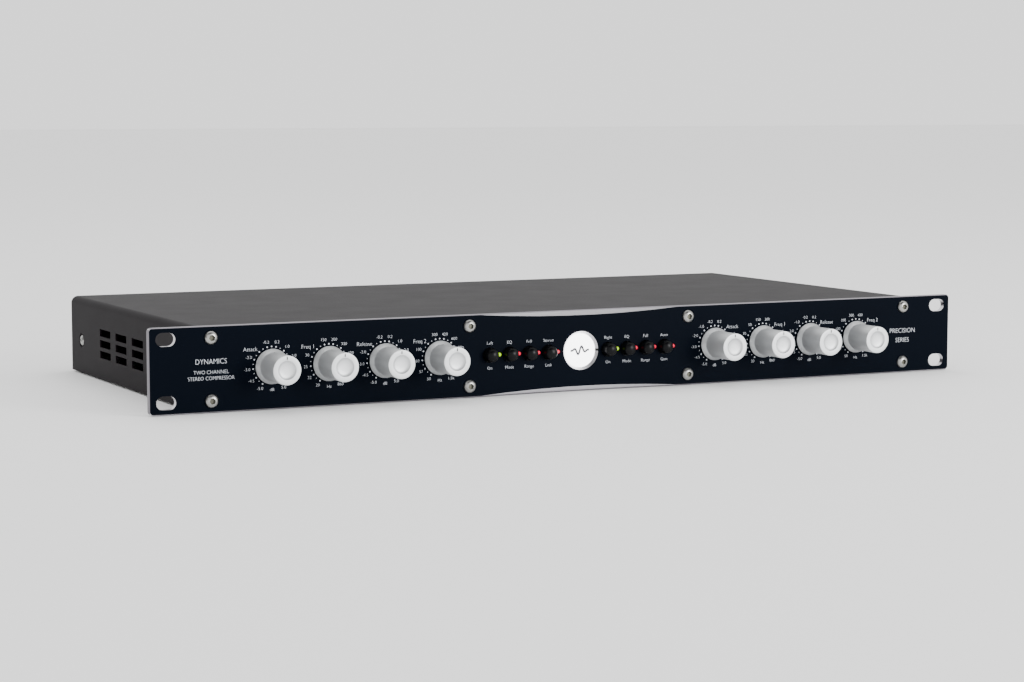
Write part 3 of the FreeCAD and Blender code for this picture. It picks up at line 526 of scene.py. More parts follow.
@dataclass(frozen=True)
class BoardFinish:
    """Circuit board: solder mask over tracks, with tinned pads in rows."""

    name: str
    mask: Colour
    tin: Colour = (0.3, 0.3, 0.28)
    pad_pitch: float = 5.08 * MM
    pad_half: float = 0.7 * MM

    def make(self) -> bpy.types.Material:
        """Build the material; tracks run along X and Y under the mask.

        Returns:
            The material.
        """
        shader = Shader(self.name)
        x, y, z = shader.axes()
        across = x.wrapped(self.pad_pitch) - self.pad_pitch / 2
        along = (y + z).wrapped(self.pad_pitch) - self.pad_pitch / 2
        pad = (abs(across) < self.pad_half) * (abs(along) < self.pad_half)
        tracks = shader.cells(shader.stretched((90.0, 420.0, 90.0))) > 0.5
        mask = shader.blend(tracks, self.mask, toned(self.mask, 1.6))
        shader.set(
            Base_Color=shader.blend(pad, mask, self.tin),
            Metallic=pad,
            Roughness=0.35 - pad * 0.1,
        )
        shader.bump(tracks + pad, 0.03 * MM)
        return shader.material


@dataclass(frozen=True)
class RibbonFinish:
    """Flat cable of parallel cores, with one marked core."""

    name: str
    colour: Colour
    mark: Colour
    core_pitch: float = 1.27 * MM

    def make(self) -> bpy.types.Material:
        """Build the material; the cores lie side by side along X, with painted shade in the grooves between
        them.

        Returns:
            The material.
        """
        shader = Shader(self.name)
        x, _, _ = shader.axes()
        place = x.wrapped(self.core_pitch) / self.core_pitch - 0.5
        ridge = 1 - abs(place) * 2
        marked = x < (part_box("ribbon_cable")[0].x + self.core_pitch)
        # Painted shade: the grooves between the cores are darkened to 0.6 of the cable's grey.
        base = shader.blend(ridge > 0.25, toned(self.colour, 0.6), self.colour)
        shader.set(Base_Color=shader.blend(marked, base, self.mark), Roughness=0.45 + ridge * 0.1)
        shader.bump(ridge, 0.25 * MM)
        return shader.material


@dataclass(frozen=True)
class WoundFinish:
    """Overlapping turns of tape round a ring, laid like spokes."""

    name: str
    colour: Colour
    centre: Pair
    turns: int = 46
    lean: float = 9.0
    lap: float = 0.93

    def make(self) -> bpy.types.Material:
        """Build the material from the angle about the ring's middle.

        Returns:
            The material.
        """
        shader = Shader(self.name)
        x, y, z = shader.axes()
        angle = x.maths("ARCTAN2", y - self.centre[1], x - self.centre[0])
        place = (angle * (self.turns / math.tau) + z * self.lean).wrapped(1.0)
        edge = place > self.lap
        broad = shader.noise(shader.object_point(), 160.0, 3.0)
        base = shader.blend(broad, self.colour, toned(self.colour, 0.85))
        dark = toned(self.colour, 0.55)
        shader.set(Base_Color=shader.blend(edge, base, dark), Roughness=0.32 + broad * 0.2)
        shader.bump(place, 0.18 * MM)
        return shader.material


@dataclass(frozen=True)
class CanFinish:
    """Sleeved can whose bare lid shows at the top."""

    name: str
    sleeve: Colour
    lid: Colour
    lid_height: float
    lid_radius: float = 6.4 * MM
    stripe: Colour = (0.5, 0.52, 0.55)
    stripe_pitch: float = 20 * MM
    stripe_width: float = 2.6 * MM

    def make(self) -> bpy.types.Material:
        """Build the material; the pale stripe marks the negative side.

        Returns:
            The material.
        """
        shader = Shader(self.name)
        x, _, z = shader.axes()
        lid = (z > self.lid_height) * (shader.attribute(TURN_RADIUS) < self.lid_radius)
        stripe = (x.wrapped(self.stripe_pitch) < self.stripe_width) * (1 - lid)
        fine = shader.noise(shader.object_point(), 500.0, 2.0)
        sleeve = shader.blend(stripe, self.sleeve, self.stripe)
        shader.set(
            Base_Color=shader.blend(lid, sleeve, self.lid),
            Metallic=lid,
            Roughness=0.28 + fine * 0.12,
        )
        shader.bump(fine, 0.02 * MM)
        return shader.material


class Palette:
    """Every finish of the compressor, made once and looked up by name."""

    def __init__(self) -> None:
        """Gather the finishes of every part of the compressor."""
        self.finishes = {
            **self.front_finishes(),
            **self.lit_finishes(),
            **self.case_finishes(),
            **self.screw_finishes(),
            **self.rear_finishes(),
            **self.inner_finishes(),
            **self.studio_finishes(),
        }
        self.made: Dict[str, bpy.types.Material] = {}

    def front_finishes(self) -> Dict[str, object]:
        """Panel, print, knobs and buttons.

        Returns:
            Finishes by their palette name.
        """
        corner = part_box("front_panel")[0]
        face, cuts, rim = (0.0008, 0.0018, 0.0042), (0.7, 0.69, 0.72), (0.2, 0.19, 0.21)
        return {
            "panel": PanelFinish("black_faced_plate", face, cuts, rim, corner),
            "print": Finish(
                "white_panel_ink", (0.62, 0.65, 0.7), 0.45, grain_pitch=0.15 * MM, grain_depth=0.004 * MM,
            ),
            "mark": Finish("grey_badge_ink", (0.035, 0.037, 0.045), 0.4, grain_pitch=0.2 * MM),
            "knob": TurnedFinish("turned_satin_aluminium", (0.68, 0.695, 0.705), 0.46, metallic=0.75),
            "pointer": Finish("pointer_ink", (0.05, 0.05, 0.055), 0.5, grain_pitch=0.2 * MM),
            "shaft": TurnedFinish("turned_shaft", (0.7, 0.7, 0.69), 0.3),
            "button": Finish(
                "black_button_cap", (0.002, 0.0022, 0.0028), 0.3, grain_pitch=0.3 * MM,
                grain_depth=0.003 * MM, specular=0.12,
            ),
        }

    def lit_finishes(self) -> Dict[str, object]:
        """Lamps and the badge's lens, which glow only at their front ends.

        Returns:
            Finishes by their palette name.
        """
        lamp_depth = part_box("front_panel")[0].y + 0.6 * MM
        lens_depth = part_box("badge_lens")[0].y + 0.3 * MM
        green, green_core = (0.2, 0.42, 0.005), (0.52, 0.85, 0.01)
        red, red_core = (0.4, 0.005, 0.02), (0.95, 0.015, 0.06)
        return {
            "green_lamp": GlowFinish("green_lamp", green, green_core, 1.15, lamp_depth),
            "red_lamp": GlowFinish("red_lamp", red, red_core, 0.95, lamp_depth),
            "lens": DiffuserFinish("opal_lens", (1.0, 1.0, 1.0), 5.0, lens_depth),
        }

    def case_finishes(self) -> Dict[str, object]:
        """Cover, tray and rear panel."""
        return {
            "cover": Finish(
                "cover_powder_coat", (0.0066, 0.0046, 0.0062), 0.5, grain_pitch=0.55 * MM,
                grain_depth=0.035 * MM, tint=0.07, specular=0.04,
            ),
            "rear": Finish(
                "rear_powder_coat", (0.016, 0.016, 0.018), 0.5, grain_pitch=0.55 * MM,
                grain_depth=0.035 * MM,
            ),
            "zinc": Finish("zinc_sheet", (0.5, 0.51, 0.5), 0.34, 1.0, Grain.ALONG_X, 0.5 * MM, 0.006 * MM),
        }

    def screw_finishes(self) -> Dict[str, object]:
        """Screws, nuts and washers."""
        return {
            "screw": TurnedFinish("bright_button_head", (0.4, 0.4, 0.385), 0.3, 0.2 * MM, 0.004 * MM),
            "dark_screw": TurnedFinish("black_zinc_screw", (0.09, 0.09, 0.1), 0.35, 0.2 * MM, 0.004 * MM),
            "steel_screw": TurnedFinish(
                "plain_steel_screw", (0.55, 0.55, 0.56), 0.28, 0.2 * MM, 0.004 * MM,
            ),
            # Painted shade: a dark finish for the faces inside each screw's driver recess, darker than the
            # head round it.
            "socket": Finish("painted_shade_recess", (0.09, 0.088, 0.07), 0.4, 0.9, grain_depth=0.004 * MM),
            "nut": Finish("nickel_plate", (0.68, 0.64, 0.55), 0.28, 1.0, grain_depth=0.004 * MM),
            "plated": Finish("plated_washer", (0.6, 0.6, 0.62), 0.3, 1.0, grain_depth=0.005 * MM),
        }

    def rear_finishes(self) -> Dict[str, object]:
        """Audio sockets, mains inlet and fuse."""
        return {
            "casting": Finish(
                "black_casting", (0.016, 0.016, 0.017), 0.4, 0.3, grain_pitch=0.5 * MM,
                grain_depth=0.02 * MM,
            ),
            "latch": Finish("stamped_latch", (0.5, 0.5, 0.5), 0.3, 1.0, Grain.ALONG_Z),
            "gold": Finish("gold_contact", (0.86, 0.6, 0.2), 0.2, 1.0, Grain.ALONG_Y, 0.2 * MM, 0.003 * MM),
            "inlet": Finish(
                "inlet_moulding", (0.012, 0.012, 0.013), 0.55, grain_pitch=0.3 * MM, grain_depth=0.02 * MM,
            ),
            "blade": Finish(
                "nickel_blade", (0.72, 0.69, 0.62), 0.22, 1.0, Grain.ALONG_Y, 0.3 * MM, 0.004 * MM,
            ),
            "rocker": Finish(
                "polished_rocker", (0.008, 0.008, 0.009), 0.18, grain_depth=0.002 * MM, coat=0.4,
            ),
            "glass": Finish("fuse_glass", (0.7, 0.76, 0.75), 0.08, grain_depth=0.001 * MM),
        }

    def inner_finishes(self) -> Dict[str, object]:
        """Boards, what stands on them, and the transformer.

        Returns:
            Finishes by their palette name.
        """
        toroid_low, toroid_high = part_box("transformer")
        toroid = (toroid_low + toroid_high) / 2
        lid_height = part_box("capacitors")[1].z - 0.6 * MM
        return {
            "switch": Finish("switch_moulding", (0.03, 0.032, 0.04), 0.5),
            "pot": Finish("pressed_pot_case", (0.6, 0.6, 0.6), 0.33, 1.0, grain_depth=0.006 * MM),
            "board": BoardFinish("dark_circuit_board", (0.003, 0.012, 0.008)),
            "can": CanFinish("capacitor_can", (0.012, 0.018, 0.045), (0.75, 0.75, 0.76), lid_height),
            "potting": Finish(
                "potted_module", (0.018, 0.018, 0.022), 0.55, grain_pitch=0.8 * MM, grain_depth=0.03 * MM,
            ),
            "sink": Finish("black_anodised_fins", (0.02, 0.02, 0.022), 0.38, 0.6, Grain.ALONG_Z),
            "epoxy": Finish("regulator_epoxy", (0.014, 0.014, 0.015), 0.5),
            "ribbon": RibbonFinish("flat_cable", (0.36, 0.37, 0.39), (0.5, 0.03, 0.03)),
            "coil": WoundFinish("wound_tape", (0.62, 0.46, 0.09), (toroid.x, toroid.y)),
            "rubber": Finish(
                "pad_rubber", (0.012, 0.012, 0.012), 0.8, grain_pitch=0.7 * MM, grain_depth=0.04 * MM,
            ),
        }

    def studio_finishes(self) -> Dict[str, object]:
        """Floor and the cards that shiny surfaces reflect."""
        return {
            "dark_card": Finish("dark_card", (0.02, 0.02, 0.022), 0.9, specular=0.0),
            "grey_card": Finish("grey_card", (0.22, 0.22, 0.22), 0.9, specular=0.0),
            "floor": Finish("pale_floor", (0.9, 0.9, 0.9), 0.7, grain_pitch=4 * MM, tint=0.01),
        }

    def get(self, name: str) -> bpy.types.Material:
        """Material of a named finish.

        Args:
            name: the finish's name in the palette.

        Returns:
            The material, made at its first use.
        """
        if name not in self.made:
            self.made[name] = self.finishes[name].make()
        return self.made[name]


palette = Palette()


# ------------------------------------------------------------------ mesh tools
class Axis(Enum):
    """Axis that a turned piece spins about."""

    X = "X"
    Y = "Y"
    Z = "Z"


@dataclass(frozen=True)
class Extent:
    """Lowest and highest corner of a solid at rest."""

    low: Vector
    high: Vector

    @classmethod
    def of(cls, node: str) -> "Extent":
        """Box of a whole CAD node."""
        return cls(*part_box(node))

    @property
    def centre(self) -> Vector:
        """Middle of the box."""
        return (self.low + self.high) / 2

    @property
    def size(self) -> Vector:
        """Lengths of the box's sides."""
        return self.high - self.low


def merged_copy(node: str) -> bmesh.types.BMesh:
    """Copy of a CAD node's mesh with its triangles joined at their corners.

    Args:
        node: the CAD node.

    Returns:
        A bmesh in the part's frame.
    """
    copy = bmesh.new()
    copy.from_mesh(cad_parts[node].data)
    bmesh.ops.remove_doubles(copy, verts=copy.verts, dist=0.002 * MM)
    return copy


def solids_of(node: str) -> List[Extent]:
    """Boxes of the separate solids in a CAD node, from left to right and bottom to top.

    Args:
        node: the CAD node.

    Returns:
        One Extent for each solid.
    """
    copy = merged_copy(node)
    left = set(copy.verts)
    found = []
    while left:
        stack = [left.pop()]
        island = []
        while stack:
            vert = stack.pop()
            island.append(vert.co.copy())
            for edge in vert.link_edges:
                other = edge.other_vert(vert)
                if other in left:
                    left.remove(other)
                    stack.append(other)
        low = Vector([min(co[axis] for co in island) for axis in range(3)])
        high = Vector([max(co[axis] for co in island) for axis in range(3)])
        found.append(Extent(low, high))
    copy.free()
    return sorted(found, key=lambda extent: (round(extent.centre.x, 4), round(extent.centre.z, 4)))


def sharp_edges(mesh: bmesh.types.BMesh, angle: float = 25.0) -> List[bmesh.types.BMEdge]:
    """Edges whose two faces meet at more than an angle.

    Args:
        mesh: the mesh.
        angle: the angle, in degrees.

    Returns:
        Its sharp edges.
    """
    limit = math.radians(angle)
    shared = [edge for edge in mesh.edges if len(edge.link_faces) == 2]
    return [edge for edge in shared if edge.calc_face_angle(0) > limit]


def soften(mesh: bmesh.types.BMesh, width: float, segments: int = 2, angle: float = 25.0) -> None:
    """Round a closed mesh's sharp edges.

    Args:
        mesh: the mesh.
        width: how far the rounding reaches from each edge.
        segments: how many faces it has across.
        angle: the least angle that counts as sharp, in degrees.
    """
    edges = sharp_edges(mesh, angle)
    bmesh.ops.bevel(
        mesh, geom=edges, offset=width, offset_type="OFFSET", segments=segments,
        profile=0.5, affect="EDGES", material=-1, clamp_overlap=True,
    )


def turned(
    profile: Sequence[Pair], centre: Vector, axis: Axis = Axis.Y, steps: int = 64,
) -> bmesh.types.BMesh:
    """Spin an open profile that starts and ends on its axis, or a closed ring.

    Args:
        profile: (radius, place along the axis) points in metres.
        centre: a point on the axis; its part along the axis is not used.
        axis: the axis of the turn.
        steps: how many segments the turn has.

    Returns:
        A closed bmesh in the part's frame, with its radius and profile run as attributes.
    """
    mesh = bmesh.new()
    run_layer = mesh.verts.layers.float.new(PROFILE_RUN)
    radius_layer = mesh.verts.layers.float.new(TURN_RADIUS)
    verts = []
    run = 0.0
    last = profile[0]
    for point in profile:
        run += math.dist(last, point)
        last = point
        vert = mesh.verts.new((point[0], 0.0, point[1]))
        vert[run_layer] = run
        vert[radius_layer] = point[0]
        verts.append(vert)
    edges = [mesh.edges.new(pair) for pair in zip(verts, verts[1:])]
    if profile[0][0] > 0:
        edges.append(mesh.edges.new((verts[-1], verts[0])))
    bmesh.ops.spin(
        mesh, geom=[*verts, *edges], cent=(0, 0, 0), axis=(0, 0, 1), angle=math.tau,
        steps=steps, use_merge=True, use_duplicate=False,
    )
    bmesh.ops.remove_doubles(mesh, verts=mesh.verts, dist=0.001 * MM)
    bmesh.ops.recalc_face_normals(mesh, faces=mesh.faces)
    stand = {
        Axis.Z: Matrix.Identity(4),
        Axis.Y: Matrix.Rotation(-math.pi / 2, 4, "X"),
        Axis.X: Matrix.Rotation(math.pi / 2, 4, "Y"),
    }[axis]
    place = Vector(centre)
    place["XYZ".index(axis.value)] = 0.0
    bmesh.ops.transform(mesh, matrix=Matrix.Translation(place) @ stand, verts=mesh.verts)
    return mesh


def rounded_profile(points: Sequence[Pair], radii: Dict[int, float], steps: int = 4) -> List[Pair]:
    """Replace a profile's corners with arcs.

    Args:
        points: the profile's corners.
        radii: the size of each rounded corner, by its number in the profile.
        steps: how many faces each arc has.

    Returns:
        The profile with its arcs.
    """
    made: List[Pair] = []
    for index, corner in enumerate(points):
        size = radii.get(index, 0.0)
        if not size:
            made.append(corner)
            continue
        here = Vector(corner)
        before = (Vector(points[index - 1]) - here).normalized()
        after = (Vector(points[index + 1]) - here).normalized()
        for step in range(steps + 1):
            share = step / steps
            start = here + before * size * (1 - share)
            end = here + after * size * share
            place = start.lerp(end, share)
            made.append((place.x, place.y))
    return made


def slab(low: Vector, high: Vector) -> bmesh.types.BMesh:
    """Closed block between two corners.

    Args:
        low: its lowest corner.
        high: its highest corner.

    Returns:
        Its mesh.
    """
    mesh = bmesh.new()
    bmesh.ops.create_cube(mesh, size=1.0)
    size = Vector(high) - Vector(low)
    bmesh.ops.scale(mesh, vec=size, verts=mesh.verts)
    bmesh.ops.translate(mesh, vec=(Vector(low) + Vector(high)) / 2, verts=mesh.verts)
    return mesh


def prism(outline: Sequence[Pair], half_depth: float) -> bmesh.types.BMesh:
    """Closed straight-sided block that stands on an outline, about the origin.

    Args:
        outline: the outline's corners in order, in the XY plane.
        half_depth: how far the block reaches each way along Z.

    Returns:
        Its mesh.
    """
    mesh = bmesh.new()
    foot = mesh.faces.new([mesh.verts.new((x, y, -half_depth)) for x, y in outline])
    raised = bmesh.ops.extrude_face_region(mesh, geom=[foot])["geom"]
    top = [item for item in raised if isinstance(item, bmesh.types.BMVert)]
    bmesh.ops.translate(mesh, vec=(0, 0, 2 * half_depth), verts=top)
    bmesh.ops.recalc_face_normals(mesh, faces=mesh.faces)
    return mesh


def gather(meshes: Iterable[bmesh.types.BMesh]) -> bmesh.types.BMesh:
    """Put several meshes in one, side by side.

    Args:
        meshes: the meshes, which are freed.

    Returns:
        One bmesh that holds them all.
    """
    whole = bmesh.new()
    for mesh in meshes:
        loose = bpy.data.meshes.new("loose")
        mesh.to_mesh(loose)
        mesh.free()
        whole.from_mesh(loose)
        bpy.data.meshes.remove(loose)
    return whole


def cut(body: bmesh.types.BMesh, tool: bmesh.types.BMesh) -> bmesh.types.BMesh:
    """Take a tool's shape out of a body.

    Args:
        body: the closed body, which is freed.
        tool: the closed tool, which is freed.

    Returns:
        The body with the hollow in it.
    """
    holders = []
    for name, mesh in (("body", body), ("tool", tool)):
        data = bpy.data.meshes.new(name)
        mesh.to_mesh(data)
        mesh.free()
        holder = bpy.data.objects.new(name, data)
        bpy.context.scene.collection.objects.link(holder)
        holders.append(holder)
    modifier = holders[0].modifiers.new("cut", "BOOLEAN")
    modifier.operation = "DIFFERENCE"
    modifier.solver = "EXACT"
    modifier.object = holders[1]
    graph = bpy.context.evaluated_depsgraph_get()
    result = bpy.data.meshes.new_from_object(holders[0].evaluated_get(graph))
    made = bmesh.new()
    made.from_mesh(result)
    for holder in holders:
        bpy.data.objects.remove(holder)
    bpy.data.meshes.remove(result)
    assert made.faces, "the cut left nothing of the body"
    return made


def finish_piece(
    name: str, mesh: bmesh.types.BMesh, finish: Union[str, Sequence[str]], body: str,
    stands_for: Sequence[str] = (), smooth_angle: float = 32.0,
) -> bpy.types.Object:
    """Turn a bmesh into a piece that rides on a body.

    Args:
        name: the piece's name.
        mesh: its shape in the part's frame, which is freed.
        finish: the palette's name for its finish, or several in the order of their index.
        body: the CAD body that it moves with.
        stands_for: the CAD nodes that it replaces.
        smooth_angle: edges flatter than this, in degrees, are shaded smooth.

    Returns:
        The new object.
    """
    data = bpy.data.meshes.new(name)
    for face in mesh.faces:
        face.smooth = True
    mesh.to_mesh(data)
    mesh.free()
    data.set_sharp_from_angle(angle=math.radians(smooth_angle))
    for one in [finish] if isinstance(finish, str) else finish:
        data.materials.append(palette.get(one))
    piece = bpy.data.objects.new(name, data)
    bpy.context.scene.collection.objects.link(piece)
    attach(piece, body)
    if stands_for:
        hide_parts(*stands_for)
    return piece


def refined(
    node: str, name: str, finish: str, body: str, width: float, segments: int = 2,
) -> bpy.types.Object:
    """Copy a CAD node with its sharp edges broken, as a deburred piece has them.

    Args:
        node: the CAD node that the piece stands for.
        name: the piece's name.
        finish: the palette's name for its finish.
        body: the CAD body that it moves with.
        width: how far the broken edge reaches.
        segments: how many faces it has across.

    Returns:
        The new object.
    """
    mesh = merged_copy(node)
    limit = math.radians(1.0)
    bmesh.ops.dissolve_limit(mesh, angle_limit=limit, verts=mesh.verts, edges=mesh.edges)
    soften(mesh, width, segments)
    piece = finish_piece(name, mesh, finish, body, [node])
    even = piece.modifiers.new("even_normals", "WEIGHTED_NORMAL")
    even.keep_sharp = True
    return piece


def dress(node: str, finish: str) -> None:
    """Give a CAD node that stays in view a finish.

    Args:
        node: the CAD node.
        finish: the palette's name for its finish.
    """
    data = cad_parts[node].data
    data.materials.clear()
    data.materials.append(palette.get(finish))


# ------------------------------------------------------------------ controls
@dataclass
class Knob:
    """Turned knob with a skirt, a bright rim, a shallow dish and a pointer line."""

    node: str
    shaft: str
    body_radius: float = 7.45 * MM
    skirt_edge: float = 0.5 * MM
    bevel_depth: float = 2.3 * MM
    rim_round: float = 0.3 * MM
    dish_radius: float = 4.85 * MM
    dish_depth: float = 1.15 * MM
    bore_radius: float = 3.05 * MM
    bore_play: float = 0.2 * MM
    pointer_half: float = 0.3 * MM

    def build(self) -> None:
        """Turn the knob and inlay its pointer."""
        extent = Extent.of(self.node)
        skirt = extent.size.x / 2
        rear = extent.high.y
        front = extent.low.y
        bore_end = Extent.of(self.shaft).low.y - self.bore_play
        corners = [
            (0.0, front + self.dish_depth),
            (self.dish_radius * 0.5, front + self.dish_depth * 0.94),
            (self.dish_radius * 0.8, front + self.dish_depth * 0.7),
            (self.dish_radius * 0.94, front + self.dish_depth * 0.32),
            (self.dish_radius, front),
            (self.body_radius, front),
            (self.body_radius, rear - self.skirt_edge - self.bevel_depth),
            (skirt, rear - self.skirt_edge),
            (skirt, rear),
            (self.bore_radius, rear),
            (self.bore_radius, bore_end),
            (0.0, bore_end),
        ]
        dish_rounds = {1: 0.9 * MM, 2: 0.5 * MM, 3: 0.25 * MM, 4: 0.12 * MM}
        outer_rounds = {5: self.rim_round, 7: 0.12 * MM, 8: 0.15 * MM}
        profile = rounded_profile(corners, {**dish_rounds, **outer_rounds}, 4)
        mesh = turned(profile, extent.centre, Axis.Y, 96)
        finish_piece(self.node + "_body", mesh, "knob", self.node, [self.node])
        self.build_pointer(extent, front, rear)
        dress(self.shaft, "shaft")

    def build_pointer(self, extent: Extent, front: float, rear: float) -> None:
        """Lay the pointer line over the rim and down the bevel.

        Args:
            extent: the knob's box.
            front: the rim's place along Y.
            rear: the skirt's place along Y.
        """
        proud = 0.02 * MM
        left = extent.centre.x - self.pointer_half
        right = extent.centre.x + self.pointer_half
        shoulder = rear - self.skirt_edge - self.bevel_depth
        rim = slab(
            (left, front, self.dish_radius + 0.5 * MM),
            (right, front + 0.3 * MM, self.body_radius - 0.5 * MM),
        )
        side = slab(
            (left, shoulder - 1.2 * MM, self.body_radius - 0.3 * MM),
            (right, shoulder, self.body_radius + proud),
        )
        mesh = gather([rim, side])
        bmesh.ops.translate(mesh, vec=(0, 0, extent.centre.z), verts=mesh.verts)
        finish_piece(self.node + "_pointer", mesh, "pointer", self.node)


@dataclass
class Button:
    """Round push button with a full dome and a slim waist below it."""

    node: str
    dome_height: float = 2.3 * MM
    steps: int = 10

    def build(self) -> None:
        """Turn the cap and its plunger."""
        extent = Extent.of(self.node)
        radius = extent.size.x / 2
        front = extent.low.y
        tail = 2.0 * MM
        stem = 1.5 * MM
        profile = []
        for step in range(self.steps + 1):
            angle = math.pi / 2 * step / self.steps
            profile.append((radius * math.sin(angle), front + self.dome_height * (1 - math.cos(angle))))
        profile += [(radius, tail - 0.2 * MM), (radius - 0.2 * MM, tail), (stem, tail)]
        profile += [(stem, extent.high.y), (0.0, extent.high.y)]
        mesh = turned(profile, extent.centre, Axis.Y, 48)
        finish_piece(self.node + "_cap", mesh, "button", self.node, [self.node])


@dataclass
class LampRow:
    """Indicator lamps of one colour, each a short rod with a round tip and two legs."""

    node: str
    finish: str
    slot: str
    steps: int = 6

    def build(self) -> None:
        """Turn every lamp of the node into one piece."""
        lamps = []
        for extent in solids_of(self.node):
            lamps.append(self.lamp(extent))
        finish_piece(self.node + "_lit", gather(lamps), self.finish, CASE, [self.node])

    def lamp(self, extent: Extent) -> bmesh.types.BMesh:
        """One lamp.

        Args:
            extent: the box of its solid.

        Returns:
            Its mesh.
        """
        foot = extent.size.x / 2
        radius = foot - 0.35 * MM
        tip = extent.low.y
        dome = 0.8 * MM
        profile = []
        for step in range(self.steps + 1):
            angle = math.pi / 2 * step / self.steps
            profile.append((radius * math.sin(angle), tip + dome * (1 - math.cos(angle))))
        profile += [(radius, 4 * MM), (foot, 4 * MM), (foot, 5 * MM), (0.0, 5 * MM)]
        meshes = [turned(profile, extent.centre, Axis.Y, 24)]
        for side in (-1, 1):
            x = extent.centre.x + side * 0.7 * MM
            z = extent.centre.z
            low = (x - 0.25 * MM, 4.9 * MM, z - 0.25 * MM)
            meshes.append(slab(low, (x + 0.25 * MM, extent.high.y, z + 0.25 * MM)))
        return gather(meshes)


class Drive(Enum):
    """Shape of the recess in a screw's head."""

    HEXAGON = "hexagon"
    CROSS = "cross"

    def outline(self, radius: float) -> List[Pair]:
        """Corners of the recess, turned a little as a driven screw is left.

        Args:
            radius: how far the recess reaches from the middle.

        Returns:
            Its corners in order.
        """
        left_turn = math.radians(12)
        if self is Drive.HEXAGON:
            corners = [(radius, math.tau * side / 6) for side in range(6)]
        else:
            spread = math.radians(13)
            inner = radius * math.sin(spread) * math.sqrt(2)
            corners = []
            for arm in range(4):
                middle = math.tau * arm / 4
                corners += [(radius, middle - spread), (radius, middle + spread)]
                corners.append((inner, middle + math.pi / 4))
        turned_corners = [(reach, angle + left_turn) for reach, angle in corners]
        return [(reach * math.cos(angle), reach * math.sin(angle)) for reach, angle in turned_corners]


@dataclass
class ScrewSet:
    """Identical screws of one node, each with a domed head and a driver recess."""

    node: str
    finish: str
    slot: str
    drive: Drive
    head_radius: float
    head_height: float
    shank_radius: float
    head_first: bool
    key_radius: float
    key_depth: float
    axis: Axis = Axis.Y
    flat_share: float = 0.5
    shoulder_share: float = 0.83
    round_share: float = 0.16

    def build(self) -> None:
        """Make one screw for every solid of the node."""
        screws = [self.screw(extent) for extent in solids_of(self.node)]
        # The second finish is painted shade for the driver recesses.
        finishes = (self.finish, "socket")
        finish_piece(self.node + "_set", gather(screws), finishes, CASE, [self.node])

    def screw(self, extent: Extent) -> bmesh.types.BMesh:
        """One screw along its axis.

        Args:
            extent: the box of its solid.

        Returns:
            Its mesh.
        """
        index = "XYZ".index(self.axis.value)
        low, high = extent.low[index], extent.high[index]
        outward = self.outward(extent)
        top, end = (low, high) if outward < 0 else (high, low)
        seat = top - outward * self.head_height
        corners = [
            (0.0, top),
            (self.head_radius * self.flat_share, top),
            (self.head_radius * self.shoulder_share, top - outward * self.head_height * 0.28),
            (self.head_radius, top - outward * self.head_height * 0.75),
            (self.head_radius, seat),
            (self.shank_radius, seat),
            (self.shank_radius, end),
            (0.0, end),
        ]
        rounding = self.head_radius * self.round_share
        profile = rounded_profile(corners, {1: rounding, 2: rounding}, 3)
        body = turned(profile, extent.centre, self.axis, 48)
        made = cut(body, self.recess(extent, top, outward))
        # Faces inside the driver recess take the second finish, painted shade that darkens the hollow.
        for face in made.faces:
            place = face.calc_center_median()
            below = (top - place[index]) * outward
            place[index] = extent.centre[index]
            inside = (place - extent.centre).length < self.key_radius * 1.02
            if inside and 0.2 * self.key_depth < below < 1.1 * self.key_depth:
                face.material_index = 1
        return made

    def outward(self, extent: Extent) -> int:
        """Which way along the axis the head looks: -1 or 1."""
        if self.axis is Axis.X:
            return 1 if extent.centre.x > 0 else -1
        return -1 if self.head_first else 1

    def recess(self, extent: Extent, top: float, outward: int) -> bmesh.types.BMesh:
        """Tool that cuts the driver recess.

        Args:
            extent: the box of the screw's solid.
            top: the head's outer face along the axis.
            outward: which way the head looks.

        Returns:
            The tool's mesh.
        """
        tool = prism(self.drive.outline(self.key_radius), self.key_depth)
        turn = {
            Axis.Z: Matrix.Identity(4),
            Axis.Y: Matrix.Rotation(math.pi / 2, 4, "X"),
            Axis.X: Matrix.Rotation(math.pi / 2, 4, "Y"),
        }[self.axis]
        place = extent.centre.copy()
        place["XYZ".index(self.axis.value)] = top
        bmesh.ops.transform(tool, matrix=Matrix.Translation(place) @ turn, verts=tool.verts)
        return tool


# ------------------------------------------------------------------ panel print
@dataclass
class Label:
    """A short word or number printed on a face."""

    words: str
    x: float
    z: float
    height: float
    squeeze: float = 0.88


